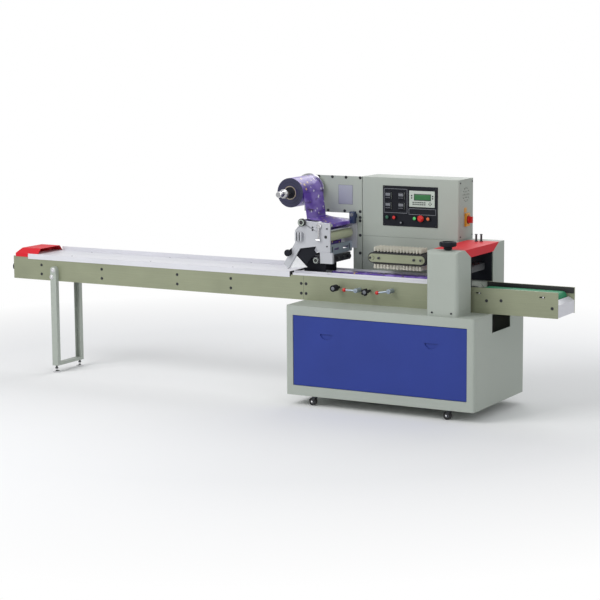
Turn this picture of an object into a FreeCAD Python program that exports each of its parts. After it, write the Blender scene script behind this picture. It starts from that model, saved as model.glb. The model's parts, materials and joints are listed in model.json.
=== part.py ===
import FreeCAD, Part
import math
import os

# Horizontal flow wrapper: infeed chain conveyor, film reel and former, brush conveyor,
# rotary end sealer and discharge belt on a castor cabinet.
# Millimetres. X runs with the product, Y to the back, Z up from the floor. The working datum
# lies on the floor under the middle of the cabinet and on the product centreline. save() moves
# every piece along X so that the finished part stands centred over its own footprint.

V = FreeCAD.Vector

# Fits
FIT = 0.3
SHEET_GAP = 0.5
PANEL_GAP = 1.5
JAW_GAP = 5.0

# Cabinet
CABINET_LENGTH = 1240.0
CABINET_WIDTH = 730.0
CABINET_BASE = 65.0
CABINET_HEIGHT = 537.0
SHEET = 3.0
CORNER_RADIUS = 14.0
WRAP_RETURN = 35.0
TOP_PLATE = 8.0
TOP_INSET = 1.0
PANEL_LENGTH = 1146.0
PANEL_HEIGHT = 429.0
PANEL_RISE = 59.0
PAN_DEPTH = 14.0
PANEL_THICKNESS = 10.0
PANEL_EDGE_RADIUS = 3.0
PULL_SPACING = 690.0
PULL_WIDTH = 86.0
PULL_DROP = 34.0
PULL_BELOW_TOP = 102.0
PULL_DEPTH = 7.0
NOTCH_WIDTH = 266.0
NOTCH_DROP = 107.0
NOTCH_OFFSET = 20.0

# Castors
CASTOR_INSET_X = 174.0
CASTOR_INSET_Y = 50.0
CASTOR_WHEEL_RADIUS = 25.0
CASTOR_WHEEL_WIDTH = 20.0
CASTOR_TRAIL = 16.0
CASTOR_DISC_RADIUS = 20.0
CASTOR_DISC = 7.0
CASTOR_CHEEK = 3.0
CASTOR_CHEEK_GAP = 2.0
CASTOR_AXLE_RADIUS = 4.0
CASTOR_STEM_RADIUS = 5.0
WHEEL_DISH = 3.0

# Bed: two long side plates on the cabinet top
BED_HALF_WIDTH = 133.0
PLATE = 8.0
PLATE_HEIGHT = 150.0
TAIL_X = -2844.0
BED_END_X = 324.0
TIE_XS = (-2615.0, -2130.0, -1546.0, -1147.0, -642.0)
TIE_RISES = (40.0, 100.0)
TIE_RADIUS = 9.0
TAIL_PLATE_HEIGHT = 112.0
TAIL_PLATE_RISE = 30.0

# Infeed deck, chain and tail
DECK_SHEET = 2.5
DECK_RISE = 20.0
DECK_FOLD = 35.0
DECK_START_X = -2723.0
DECK_END_X = -722.0
DECK_SLOT = 5.0
DECK_LIP = 25.0
LIP_END_X = -745.0
BEARER_WIDTH = 8.0
CHAIN_OUTER_RADIUS = 50.0
CHAIN_THICKNESS = 9.0
CHAIN_WIDTH = 12.0
CHAIN_DROP = 12.0
CHAIN_TAIL_X = -2770.0
CHAIN_HEAD_X = -775.0
CHAIN_TEETH = 16
TOOTH_DEPTH = 5.0
CHAIN_SHAFT_RADIUS = 10.0
HOOD_START_X = -2825.0
HOOD_END_X = -2639.0
HOOD_HEIGHT = 34.0
HOOD_INSET = 30.0
HOOD_SLOPE = 36.0
HOOD_SHEET = 2.0
HOOD_SKIRT = 23.0
TAIL_KNOB_RADIUS = 25.0
TAIL_KNOB_THICKNESS = 12.0
TAIL_KNOB_STANDOFF = 4.0
TAIL_KNOB_Y = -100.0
TAIL_KNOB_RISE = 75.0
TAIL_SCREW_RADIUS = 6.0
TAIL_SCREW_LENGTH = 60.0

# Infeed stand
LEG_X = -2500.0
LEG_WIDTH = 45.0
LEG_DEPTH = 31.0
LEG_SHEET = 3.0
LEG_BOTTOM = 65.0
LEG_PIVOT_RISE = 75.0
CROSSBAR_HEIGHT = 18.0
FOOT_RADIUS = 25.0
FOOT_HEIGHT = 17.0
FOOT_NECK = 7.0
STUD_RADIUS = 6.0

# Table between infeed and end sealer, with the film tube lying on it
TABLE_START_X = -702.0
TABLE_RISE = 14.0
TABLE_SHEET = 3.0
RAIL_HEIGHT = 12.0
RAIL_WIDTH = 4.0
RAIL_INSET = 18.0
TUBE_START_X = -480.0
TUBE_END_X = 318.0
TUBE_WIDTH = 80.0
TUBE_HEIGHT = 10.0

# Film reel
REEL_X = -722.0
REEL_Z = 1262.0
FILM_HALF_WIDTH = 120.0
ROLL_RADIUS = 90.0
CORE_RADIUS = 42.0
CORE_WALL = 5.0
CORE_PROUD = 4.0
SHAFT_RADIUS = 15.0
NOSE_RADIUS = 19.0
NOSE_LENGTH = 60.0
NOSE_Y = -268.0
FLANGE_RADIUS = 101.0
FLANGE_THICKNESS = 8.0
FLANGE_GAP = 3.0
CHUCK_WIDTH = 30.0

# Reel plate and control tower
WALL_Y = 151.0
TOWER_START_X = -370.0
TOWER_LENGTH = 653.0
TOWER_DEPTH = 211.0
TOWER_TOP = 1353.0
TOWER_CORNER = 10.0
TOWER_SEAM_Z = 990.0
SEAM = 2.0
SEAM_DEPTH = 3.0
REEL_PLATE = 8.0
REEL_PLATE_START_X = -775.0
REEL_PLATE_BOTTOM = 1125.0
REEL_STRIP_WIDTH = 60.0
REEL_PLATE_RETURN = 80.0
BOSS_RADIUS = 32.0
BOSS_LENGTH = 8.0
VENT_Y = 251.0
VENT_Z = 1260.0
VENT_PITCH = 20.0
VENT_RINGS = 2
VENT_HOLE_RADIUS = 5.0
VENT_DEPTH = 6.0

# Controls on the tower
FASCIA_START_X = -224.0
FASCIA_LENGTH = 368.0
FASCIA_BOTTOM = 1060.0
FASCIA_HEIGHT = 245.0
FASCIA = 4.0
INSTRUMENT = 7.0
CONTROLLER_SIZE = 42.0
CONTROLLER_XS = (-186.0, -98.0)
CONTROLLER_ZS = (1244.0, 1182.0)
DISPLAY_START_X = -44.0
DISPLAY_LENGTH = 170.0
DISPLAY_BOTTOM = 1182.0
DISPLAY_HEIGHT = 98.0
BUTTONS = ((-190.0, 1113.0, 11.0), (-143.0, 1113.0, 11.0), (-4.0, 1113.0, 11.0), (86.0, 1113.0, 11.0),
           (-96.0, 1083.0, 7.0))
BUTTON_LENGTH = 12.0
STOP_X = 36.0
STOP_Z = 1113.0
STOP_HEAD_RADIUS = 20.0
STOP_HEAD = 16.0
STOP_TRAVEL = 5.0
STOP_STEM_RADIUS = 10.0
SWITCH_Y = 258.0
SWITCH_Z = 1108.0
SWITCH_WIDTH = 54.0
SWITCH_HEIGHT = 80.0
SWITCH_BASE = 14.0
SWITCH_HUB_RADIUS = 22.0
SWITCH_HUB = 10.0
SWITCH_GRIP_WIDTH = 12.0
SWITCH_GRIP = 18.0

# Film bracket, rollers and former
BRACKET = 12.0
BRACKET_Y = -160.0
REAR_BRACKET_Y = 139.0
BRACKET_LEFT = -668.0
BRACKET_RIGHT = -425.0
BRACKET_TOP = 1101.0
BRACKET_BOTTOM = 912.0
ARM_TIP = (-732.0, 819.0)
ARM_WIDTH = 35.0
ENTRY_X = -614.0
ENTRY_Z = 1090.0
ENTRY_RADIUS = 16.0
ENTRY_CAP_RADIUS = 23.0
ENTRY_CAP = 18.0
JOURNAL_RADIUS = 8.0
LUG_RADIUS = 19.0
EXIT_X = -437.0
EXIT_Z = 1074.0
EXIT_RADIUS = 11.0
STAY_DROP = 30.0
STAY_RADIUS = 8.0
NIP_X = -455.0
NIP_Z = 1007.0
NIP_RADIUS = 30.0
NIP_SHAFT_RADIUS = 9.0
END_PLAY = 6.0
SLOT_PLATE_X = -440.0
SLOT_PLATE = 6.0
SLOT_PLATE_BOTTOM = 895.0
SLOT_PLATE_HEIGHT = 63.0
SLOT_LENGTH = 70.0
SLOT_HEIGHT = 14.0
SLOT_Y = 58.0
FILM = 1.0
FILM_ROLL_GAP = 5.0
CHEEK = 4.0
CHEEK_Y = 148.0
TUNNEL_HALF_WIDTH = 70.0
TUNNEL_TOP = 876.0
TUNNEL_START_X = -655.0
TUNNEL_END_X = -505.0
TUNNEL_SHEET = 3.0
WHEEL_BLOCK_Y = -180.0
PULL_WHEEL_X = -514.0
PULL_WHEEL_Z = 864.0
PULL_WHEEL_RADIUS = 20.0

# Brush conveyor hung from the tower over the table
BRUSH_START_X = -193.0
BRUSH_END_X = 131.0
BRUSH_Z = 886.0
BRUSH_RADIUS = 32.0
BRUSH_BELT = 7.0
BRUSH_HALF_WIDTH = 52.0
BRUSH_SIDE = 5.0
BRISTLE_LENGTH = 38.0
BRISTLE_THICKNESS = 5.0
BRISTLE_ROWS = 24
BRUSH_HUB_RADIUS = 12.0
BRUSH_ARM_RADIUS = 18.0

# Controls on the front side plate
KNOB_X = -380.0
KNOB_Z = 705.0
KNOB_RADIUS = 20.0
KNOB_REACH = 80.0
KNOB_GRIP = 45.0
STAR_X = -170.0
STAR_Z = 695.0
STAR_LOBES = 5
STAR_RADIUS = 15.0
STAR_LOBE_RADIUS = 7.5
STAR_REACH = 75.0
STAR_GRIP = 20.0
SPINDLE_RADIUS = 8.0
SPINDLE_SEAT = 6.0
LEVER_XS = (-240.0, -19.0)
LEVER_ZS = (697.0, 706.0)
LEVER_TILTS = (0.0, -9.0)
LEVER_LENGTH = 78.0
LEVER_REACH = 52.0
LEVER_BOSS_RADIUS = 14.0
LEVER_ROD_RADIUS = 6.0
LEVER_BALL_RADIUS = 12.0

# End sealer
SEALER_START_X = 302.0
SEALER_LENGTH = 202.0
SEALER_OUTER_Y = 344.0
SEALER_INNER_Y = 160.0
SEALER_TOP = 987.0
SEALER_RADIUS = 25.0
COVER_TOP_Y = 245.0
COVER_BOTTOM = 938.0
PRODUCT_Z = 780.0
JAW_RADIUS = 72.0
JAW_HALF_LENGTH = 105.0
JAW_WIDTH = 40.0
JAW_HUB_RADIUS = 26.0
JAW_SHAFT_RADIUS = 18.0
JAW_TEETH = 7
JAW_TOOTH_DEPTH = 2.0
BEARING_RADIUS = 42.0
BEARING = 12.0
COVER_STUDS = ((380.0, 189.0), (407.0, 202.0))
COVER_STUD_RADIUS = 5.5
COVER_STUD_HEIGHT = 45.0
WHEEL_X = 410.0
WHEEL_Y = -275.0
WHEEL_STANDOFF = 25.0
WHEEL_RADIUS = 50.0
WHEEL_RIM_RADIUS = 7.0
WHEEL_HUB_RADIUS = 15.0
WHEEL_HUB = 24.0
WHEEL_SPOKES = 3
WHEEL_SPOKE_WIDTH = 12.0
WHEEL_SPOKE = 7.0
WHEEL_SEAT = 12.0

# Discharge conveyor
DISCHARGE_START_X = 482.0
DISCHARGE_END_X = 1033.0
DISCHARGE_RISE = 10.0
DISCHARGE_BELT_HALF_WIDTH = 110.0
DISCHARGE_BELT_RADIUS = 26.0
DISCHARGE_BELT = 4.0
ROLLER_SHAFT_RADIUS = 8.0
SLOT_BOLT_XS = (540.0, 937.0)
SLOT_BOLT_RISE = 118.0
SLOT_BOLT_LENGTH = 35.0
SLOT_BOLT_HEIGHT = 9.0
END_SHEET = 3.0
END_SHEET_TOP = 95.0
END_SHEET_KNEE = 75.0
END_SHEET_RUN = 36.0

# Levels and faces worked out from the sizes above
HALF_LENGTH = CABINET_LENGTH / 2
HALF_WIDTH = CABINET_WIDTH / 2
CABINET_TOP = CABINET_BASE + CABINET_HEIGHT
BED_BASE = CABINET_TOP + TOP_PLATE
BED_TOP = BED_BASE + PLATE_HEIGHT
BED_INNER = BED_HALF_WIDTH - PLATE
DECK_TOP = BED_TOP + DECK_RISE
TABLE_TOP = BED_TOP + TABLE_RISE
SEALER_END_X = SEALER_START_X + SEALER_LENGTH
JAW_X = SEALER_START_X + SEALER_LENGTH / 2
JAW_OFFSET = JAW_RADIUS + JAW_GAP / 2
TOWER_END_X = TOWER_START_X + TOWER_LENGTH
KNOB_TIP_X = TAIL_X - TAIL_KNOB_STANDOFF - TAIL_KNOB_THICKNESS
BELT_AXIS_Z = BED_TOP + DISCHARGE_RISE - DISCHARGE_BELT_RADIUS
BELT_TIP_X = DISCHARGE_END_X + SHEET
CENTRE_X = (KNOB_TIP_X + BELT_TIP_X) / 2


def box(x0, x1, y0, y1, z0, z1):
    return Part.makeBox(x1 - x0, y1 - y0, z1 - z0, V(x0, y0, z0))


def rod(x, z, radius, y0, y1):
    """Round bar along Y."""
    return Part.makeCylinder(radius, y1 - y0, V(x, y0, z), V(0, 1, 0))


def bar(y, z, radius, x0, x1):
    """Round bar along X."""
    return Part.makeCylinder(radius, x1 - x0, V(x0, y, z), V(1, 0, 0))


def post(x, y, radius, z0, z1):
    """Round bar along Z."""
    return Part.makeCylinder(radius, z1 - z0, V(x, y, z0), V(0, 0, 1))


def prism_y(points, y0, y1):
    """Outline in X and Z, drawn out along Y."""
    wire = Part.makePolygon([V(x, y0, z) for x, z in points + points[:1]])
    return Part.Face(wire).extrude(V(0, y1 - y0, 0))


def prism_x(points, x0, x1):
    """Outline in Y and Z, drawn out along X."""
    wire = Part.makePolygon([V(x0, y, z) for y, z in points + points[:1]])
    return Part.Face(wire).extrude(V(x1 - x0, 0, 0))


def rounded_box(x0, x1, y0, y1, z0, z1, radius):
    """Block with its four upright edges rounded."""
    block = box(x0, x1, y0, y1, z0, z1)
    upright = [e for e in block.Edges if abs(e.Vertexes[0].Z - e.Vertexes[-1].Z) > 0.5 * (z1 - z0)]
    return block.makeFillet(radius, upright)


def capsule(x0, x1, z, radius, y0, y1):
    """Flat block along X with half-round ends, as a belt lies on two pulleys."""
    upper = Part.LineSegment(V(x0, y0, z + radius), V(x1, y0, z + radius)).toShape()
    right = Part.Arc(V(x1, y0, z + radius), V(x1 + radius, y0, z), V(x1, y0, z - radius)).toShape()
    lower = Part.LineSegment(V(x1, y0, z - radius), V(x0, y0, z - radius)).toShape()
    left = Part.Arc(V(x0, y0, z - radius), V(x0 - radius, y0, z), V(x0, y0, z + radius)).toShape()
    return Part.Face(Part.Wire([upper, right, lower, left])).extrude(V(0, y1 - y0, 0))


def belt_loop(x0, x1, z, radius, thickness, y0, y1):
    outside = capsule(x0, x1, z, radius, y0, y1)
    return outside.cut(capsule(x0, x1, z, radius - thickness, y0, y1))


def join(shapes):
    return shapes[0].multiFuse(shapes[1:]).removeSplitter()


def mirror_y(shape):
    return shape.mirror(V(0, 0, 0), V(0, 1, 0))


def save(name, *solids):
    shape = solids[0] if len(solids) == 1 else Part.makeCompound(list(solids))
    moved = shape.copy()
    moved.translate(V(-CENTRE_X, 0, 0))
    moved.exportStep(os.path.join("parts", name + ".step"))


# ---------------------------------------------------------------- cabinet
def cabinet_ring():
    """Folded sheet wall all round, with rounded upright corners."""
    outside = rounded_box(-HALF_LENGTH, HALF_LENGTH, -HALF_WIDTH, HALF_WIDTH,
                          CABINET_BASE, CABINET_TOP, CORNER_RADIUS)
    inside = rounded_box(-HALF_LENGTH + SHEET, HALF_LENGTH - SHEET, -HALF_WIDTH + SHEET,
                         HALF_WIDTH - SHEET, CABINET_BASE, CABINET_TOP, CORNER_RADIUS - SHEET)
    return outside.cut(inside)


def cabinet_back():
    keep = box(-HALF_LENGTH, HALF_LENGTH, HALF_WIDTH - WRAP_RETURN, HALF_WIDTH, CABINET_BASE, CABINET_TOP)
    return cabinet_ring().common(keep)


def cabinet_front():
    """Front sheet with a shallow pan that takes the lift-off panel."""
    half = PANEL_LENGTH / 2
    bottom = CABINET_BASE + PANEL_RISE
    top = bottom + PANEL_HEIGHT
    face = -HALF_WIDTH
    pan = box(-half - SHEET, half + SHEET, face, face + PAN_DEPTH + SHEET, bottom - SHEET, top + SHEET)
    hollow = box(-half, half, face, face + PAN_DEPTH, bottom, top)
    return mirror_y(cabinet_back()).fuse(pan).cut(hollow).removeSplitter()


def service_panel():
    half = PANEL_LENGTH / 2 - PANEL_GAP
    bottom = CABINET_BASE + PANEL_RISE + PANEL_GAP
    top = CABINET_BASE + PANEL_RISE + PANEL_HEIGHT - PANEL_GAP
    back = -HALF_WIDTH + PAN_DEPTH
    face = back - PANEL_THICKNESS
    panel = box(-half, half, face, back, bottom, top)
    rim = [e for e in panel.Edges if all(abs(v.Y - face) < FIT for v in e.Vertexes)]
    panel = panel.makeFillet(PANEL_EDGE_RADIUS, rim)
    flat = top - PULL_BELOW_TOP
    for x in (-PULL_SPACING / 2, PULL_SPACING / 2):
        left = V(x - PULL_WIDTH / 2, face, flat)
        right = V(x + PULL_WIDTH / 2, face, flat)
        curve = Part.Arc(right, V(x, face, flat - PULL_DROP), left).toShape()
        outline = Part.Wire([Part.LineSegment(left, right).toShape(), curve])
        panel = panel.cut(Part.Face(outline).extrude(V(0, PULL_DEPTH, 0)))
    return panel


def cabinet_side(sign):
    x0 = sign * HALF_LENGTH - (SHEET if sign > 0 else 0)
    end = HALF_WIDTH - WRAP_RETURN
    side = box(x0, x0 + SHEET, -end, end, CABINET_BASE, CABINET_TOP)
    if sign > 0:
        y0 = NOTCH_OFFSET - NOTCH_WIDTH / 2
        side = side.cut(box(x0, x0 + SHEET, y0, y0 + NOTCH_WIDTH, CABINET_TOP - NOTCH_DROP, CABINET_TOP))
    return side


def castor_places():
    x = HALF_LENGTH - CASTOR_INSET_X
    y = HALF_WIDTH - CASTOR_INSET_Y
    return {"left": (-x, -y), "right": (x, -y), "rear_left": (-x, y), "rear_right": (x, y)}


def cabinet_floor():
    floor = rounded_box(-HALF_LENGTH + SHEET, HALF_LENGTH - SHEET, -HALF_WIDTH + SHEET,
                        HALF_WIDTH - SHEET, CABINET_BASE, CABINET_BASE + SHEET, CORNER_RADIUS)
    holes = [post(x, y, CASTOR_STEM_RADIUS + FIT, CABINET_BASE, CABINET_BASE + SHEET)
             for x, y in castor_places().values()]
    return floor.cut(Part.makeCompound(holes))


def cabinet_top():
    return rounded_box(-HALF_LENGTH + TOP_INSET, HALF_LENGTH - TOP_INSET, -HALF_WIDTH + TOP_INSET,
                       HALF_WIDTH - TOP_INSET, CABINET_TOP, BED_BASE, CORNER_RADIUS - TOP_INSET)


def castor_fork(x, y):
    """Swivel disc and stem with two cheeks that carry the axle behind the swivel."""
    axle_x = x - CASTOR_TRAIL
    axle_z = CASTOR_WHEEL_RADIUS
    under = CABINET_BASE - CASTOR_DISC
    inner = CASTOR_WHEEL_WIDTH / 2 + CASTOR_CHEEK_GAP
    eye = CASTOR_AXLE_RADIUS + CASTOR_CHEEK
    shapes = [post(x, y, CASTOR_DISC_RADIUS, under, CABINET_BASE),
              post(x, y, CASTOR_STEM_RADIUS, CABINET_BASE, CABINET_BASE + SHEET),
              rod(axle_x, axle_z, CASTOR_AXLE_RADIUS, y - inner, y + inner)]
    reach = math.sqrt(CASTOR_DISC_RADIUS ** 2 - (inner + CASTOR_CHEEK) ** 2)
    outline = [(axle_x - eye, axle_z), (x - reach, under), (x + reach, under), (axle_x + eye, axle_z)]
    for y0 in (y - inner - CASTOR_CHEEK, y + inner):
        shapes.append(prism_y(outline, y0, y0 + CASTOR_CHEEK))
        shapes.append(rod(axle_x, axle_z, eye, y0, y0 + CASTOR_CHEEK))
    return join(shapes)


def castor_wheel(x, y):
    """Dished wheel with a rounded tread, turned about its axle."""
    axle_x = x - CASTOR_TRAIL
    bore = CASTOR_AXLE_RADIUS + FIT
    half = CASTOR_WHEEL_WIDTH / 2
    rim = CASTOR_WHEEL_RADIUS
    soft = WHEEL_DISH
    outline = [(bore, -half), (bore + 3 * FIT + soft, -half), (rim * 0.5, -half + soft),
               (rim * 0.7, -half + soft), (rim * 0.75, -half), (rim - soft, -half), (rim, -half + soft),
               (rim, half - soft), (rim - soft, half), (rim * 0.75, half), (rim * 0.7, half - soft),
               (rim * 0.5, half - soft), (bore + 3 * FIT + soft, half), (bore, half)]
    points = [V(axle_x + r, y + w, CASTOR_WHEEL_RADIUS) for r, w in outline]
    face = Part.Face(Part.makePolygon(points + points[:1]))
    return face.revolve(V(axle_x, y, CASTOR_WHEEL_RADIUS), V(0, 1, 0), 360)


# ---------------------------------------------------------------- bed and infeed
def spindle_holes():
    """Bores in the front side plate for the two knobs and the two levers."""
    spots = [(KNOB_X, KNOB_Z), (STAR_X, STAR_Z)] + list(zip(LEVER_XS, LEVER_ZS))
    return Part.makeCompound([rod(x, z, SPINDLE_RADIUS + FIT, -BED_HALF_WIDTH, -BED_INNER) for x, z in spots])


def side_plate():
    return box(TAIL_X, BED_END_X, BED_INNER, BED_HALF_WIDTH, BED_BASE, BED_TOP)


def bed_ties():
    """Round spacers between the side plates, and the plate that closes the tail."""
    ties = [rod(x, BED_BASE + rise, TIE_RADIUS, -BED_INNER, BED_INNER) for x in TIE_XS for rise in TIE_RISES]
    z0 = BED_BASE + TAIL_PLATE_RISE
    tail = box(TAIL_X, TAIL_X + PLATE, -BED_INNER, BED_INNER, z0, z0 + TAIL_PLATE_HEIGHT)
    screw = bar(TAIL_KNOB_Y, BED_BASE + TAIL_KNOB_RISE, TAIL_SCREW_RADIUS + FIT, TAIL_X, TAIL_X + PLATE)
    return ties + [tail.cut(screw)]


def deck_half(lip):
    """Folded deck sheet behind the slot, with an edge turned up or down and its bearer."""
    outer = BED_HALF_WIDTH + SHEET_GAP + DECK_SHEET
    under = DECK_TOP - DECK_SHEET
    top = box(DECK_START_X, DECK_END_X, DECK_SLOT / 2, outer, under, DECK_TOP)
    bearer = box(DECK_START_X, DECK_END_X, BED_HALF_WIDTH - BEARER_WIDTH, BED_HALF_WIDTH, BED_TOP, under)
    if lip:
        edge = box(HOOD_END_X + FIT, LIP_END_X, outer - DECK_SHEET, outer, under, DECK_TOP + DECK_LIP)
    else:
        edge = box(DECK_START_X, DECK_END_X, outer - DECK_SHEET, outer, DECK_TOP - DECK_FOLD, DECK_TOP)
    return join([top, bearer, edge])


def chain_axis_z():
    return DECK_TOP - DECK_SHEET - CHAIN_DROP - CHAIN_OUTER_RADIUS


def feed_chain():
    return belt_loop(CHAIN_TAIL_X, CHAIN_HEAD_X, chain_axis_z(), CHAIN_OUTER_RADIUS, CHAIN_THICKNESS,
                     -CHAIN_WIDTH / 2, CHAIN_WIDTH / 2)


def chain_wheel(x):
    """Toothed wheel on a shaft that runs from side plate to side plate."""
    z = chain_axis_z()
    tip = CHAIN_OUTER_RADIUS - CHAIN_THICKNESS - FIT
    root = tip - TOOTH_DEPTH
    points = []
    for n in range(CHAIN_TEETH):
        for part, radius in ((0.0, root), (0.3, root), (0.45, tip), (0.85, tip)):
            angle = 2 * math.pi * (n + part) / CHAIN_TEETH
            points.append((x + radius * math.cos(angle), z + radius * math.sin(angle)))
    half = CHAIN_WIDTH / 2
    return join([prism_y(points, -half, half), rod(x, z, CHAIN_SHAFT_RADIUS, -BED_INNER, BED_INNER)])


def hood_block(grow, start, end):
    """Four-sided hood form: a rectangle below lofted to a smaller one above."""
    low = DECK_TOP
    high = DECK_TOP + HOOD_HEIGHT + grow
    wide = BED_HALF_WIDTH + SHEET_GAP + DECK_SHEET + grow
    narrow = wide - HOOD_INSET

    def ring(x0, half, z):
        corners = [V(x0, -half, z), V(end, -half, z), V(end, half, z), V(x0, half, z)]
        return Part.makePolygon(corners + corners[:1])

    return Part.makeLoft([ring(start, wide, low), ring(start + HOOD_SLOPE, narrow, high)], True, True)


def tail_cover():
    outside = hood_block(0, HOOD_START_X, HOOD_END_X)
    inside = hood_block(-HOOD_SHEET, HOOD_START_X + HOOD_SHEET, HOOD_END_X)
    wide = BED_HALF_WIDTH + SHEET_GAP + DECK_SHEET
    skirt = box(HOOD_START_X, DECK_START_X, -wide, wide, DECK_TOP - HOOD_SKIRT, DECK_TOP)
    inner = wide - HOOD_SHEET
    hollow = box(HOOD_START_X + HOOD_SHEET, DECK_START_X, -inner, inner, BED_TOP, DECK_TOP)
    below = box(HOOD_START_X, DECK_START_X, -inner, inner, DECK_TOP - HOOD_SKIRT, BED_TOP)
    return join([outside.cut(inside), skirt.cut(hollow).cut(below)])


def tail_knob():
    z = BED_BASE + TAIL_KNOB_RISE
    head = bar(TAIL_KNOB_Y, z, TAIL_KNOB_RADIUS, KNOB_TIP_X, TAIL_X - TAIL_KNOB_STANDOFF)
    flutes = []
    for n in range(12):
        angle = math.pi * n / 6
        reach = TAIL_KNOB_RADIUS + SHEET / 2
        flutes.append(bar(TAIL_KNOB_Y + reach * math.cos(angle), z + reach * math.sin(angle), SHEET,
                          KNOB_TIP_X, TAIL_X - TAIL_KNOB_STANDOFF))
    head = head.cut(Part.makeCompound(flutes))
    screw = bar(TAIL_KNOB_Y, z, TAIL_SCREW_RADIUS, TAIL_X - TAIL_KNOB_STANDOFF, TAIL_X + TAIL_SCREW_LENGTH)
    return join([head, screw])


# ---------------------------------------------------------------- infeed stand
def stand_leg(web_y, open_towards):
    """Upright channel with a round head about its pivot; open_towards is +1 or -1 along Y."""
    pivot = BED_BASE + LEG_PIVOT_RISE
    half = LEG_WIDTH / 2
    far = web_y + open_towards * LEG_DEPTH
    y0, y1 = min(web_y, far), max(web_y, far)
    outside = box(LEG_X - half, LEG_X + half, y0, y1, LEG_BOTTOM, pivot).fuse(rod(LEG_X, pivot, half, y0, y1))
    inner = half - LEG_SHEET
    near = web_y + open_towards * LEG_SHEET
    h0, h1 = min(near, far), max(near, far)
    straight = box(LEG_X - inner, LEG_X + inner, h0, h1, LEG_BOTTOM, pivot)
    hollow = straight.fuse(rod(LEG_X, pivot, inner, h0, h1))
    return outside.cut(hollow).removeSplitter()


def front_leg_web():
    return -BED_HALF_WIDTH - LEG_DEPTH


def foot_ys():
    return (front_leg_web() + LEG_DEPTH / 2, BED_INNER - LEG_DEPTH / 2)


def stand_crossbar():
    """Flat channel under both legs that carries the two levelling studs."""
    half = LEG_WIDTH / 2
    y0 = front_leg_web()
    shell = box(LEG_X - half, LEG_X + half, y0, BED_INNER, LEG_BOTTOM - CROSSBAR_HEIGHT, LEG_BOTTOM)
    inner = half - LEG_SHEET
    hollow = box(LEG_X - inner, LEG_X + inner, y0 + LEG_SHEET, BED_INNER - LEG_SHEET,
                 LEG_BOTTOM - CROSSBAR_HEIGHT, LEG_BOTTOM - LEG_SHEET)
    return shell.cut(hollow)


def levelling_feet():
    feet = []
    for y in foot_ys():
        pad = post(LEG_X, y, FOOT_RADIUS, 0, FOOT_HEIGHT - FOOT_NECK)
        base = V(LEG_X, y, FOOT_HEIGHT - FOOT_NECK)
        neck = Part.makeCone(FOOT_RADIUS, STUD_RADIUS + SHEET, FOOT_NECK, base)
        stud = post(LEG_X, y, STUD_RADIUS, FOOT_HEIGHT - SHEET, LEG_BOTTOM - LEG_SHEET)
        feet.append(join([pad, neck, stud]))
    return feet


# ---------------------------------------------------------------- table and film tube
def bed_table():
    """Folded table sheet on the side plates, with a low rail along each side."""
    out = BED_HALF_WIDTH
    leg = BEARER_WIDTH
    under = TABLE_TOP - TABLE_SHEET
    rail = out - RAIL_INSET
    top = TABLE_TOP + RAIL_HEIGHT
    outline = [(-out, BED_TOP), (-out + leg, BED_TOP), (-out + leg, under), (out - leg, under),
               (out - leg, BED_TOP), (out, BED_TOP), (out, TABLE_TOP), (rail, TABLE_TOP),
               (rail, top), (rail - RAIL_WIDTH, top), (rail - RAIL_WIDTH, TABLE_TOP),
               (-rail + RAIL_WIDTH, TABLE_TOP), (-rail + RAIL_WIDTH, top), (-rail, top),
               (-rail, TABLE_TOP), (-out, TABLE_TOP)]
    return prism_x(outline, TABLE_START_X, BED_END_X)


def film_tube():
    """Flat empty tube of film with round edges."""
    radius = TUBE_HEIGHT / 2
    z = TABLE_TOP + radius
    reach = TUBE_WIDTH / 2 - radius
    core = box(TUBE_START_X, TUBE_END_X, -reach, reach, TABLE_TOP, TABLE_TOP + TUBE_HEIGHT)
    return join([core] + [bar(y, z, radius, TUBE_START_X, TUBE_END_X) for y in (-reach, reach)])


# ---------------------------------------------------------------- film reel
def film_roll():
    roll = rod(REEL_X, REEL_Z, ROLL_RADIUS, -FILM_HALF_WIDTH, FILM_HALF_WIDTH)
    core = rod(REEL_X, REEL_Z, CORE_RADIUS, -FILM_HALF_WIDTH - CORE_PROUD, FILM_HALF_WIDTH)
    hole = rod(REEL_X, REEL_Z, CORE_RADIUS - CORE_WALL, -FILM_HALF_WIDTH - CORE_PROUD, FILM_HALF_WIDTH)
    return roll.fuse(core).cut(hole).removeSplitter()


def reel_shaft():
    """Shaft with its nose, two core chucks and the flange that backs the roll."""
    flange_y = FILM_HALF_WIDTH + FLANGE_GAP
    shaft = rod(REEL_X, REEL_Z, SHAFT_RADIUS, NOSE_Y, WALL_Y + REEL_PLATE)
    nose = rod(REEL_X, REEL_Z, NOSE_RADIUS, NOSE_Y, NOSE_Y + NOSE_LENGTH)
    end = V(REEL_X, NOSE_Y, REEL_Z)
    tip = Part.makeCone(NOSE_RADIUS - CORE_WALL, NOSE_RADIUS, CORE_WALL, end, V(0, 1, 0))
    nose = nose.cut(rod(REEL_X, REEL_Z, NOSE_RADIUS, NOSE_Y, NOSE_Y + CORE_WALL)).fuse(tip)
    flange = rod(REEL_X, REEL_Z, FLANGE_RADIUS, flange_y, flange_y + FLANGE_THICKNESS)
    chucks = [rod(REEL_X, REEL_Z, CORE_RADIUS - CORE_WALL, y0, y0 + CHUCK_WIDTH)
              for y0 in (-FILM_HALF_WIDTH, flange_y - CHUCK_WIDTH)]
    return join([shaft, nose, flange] + chucks)


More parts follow.
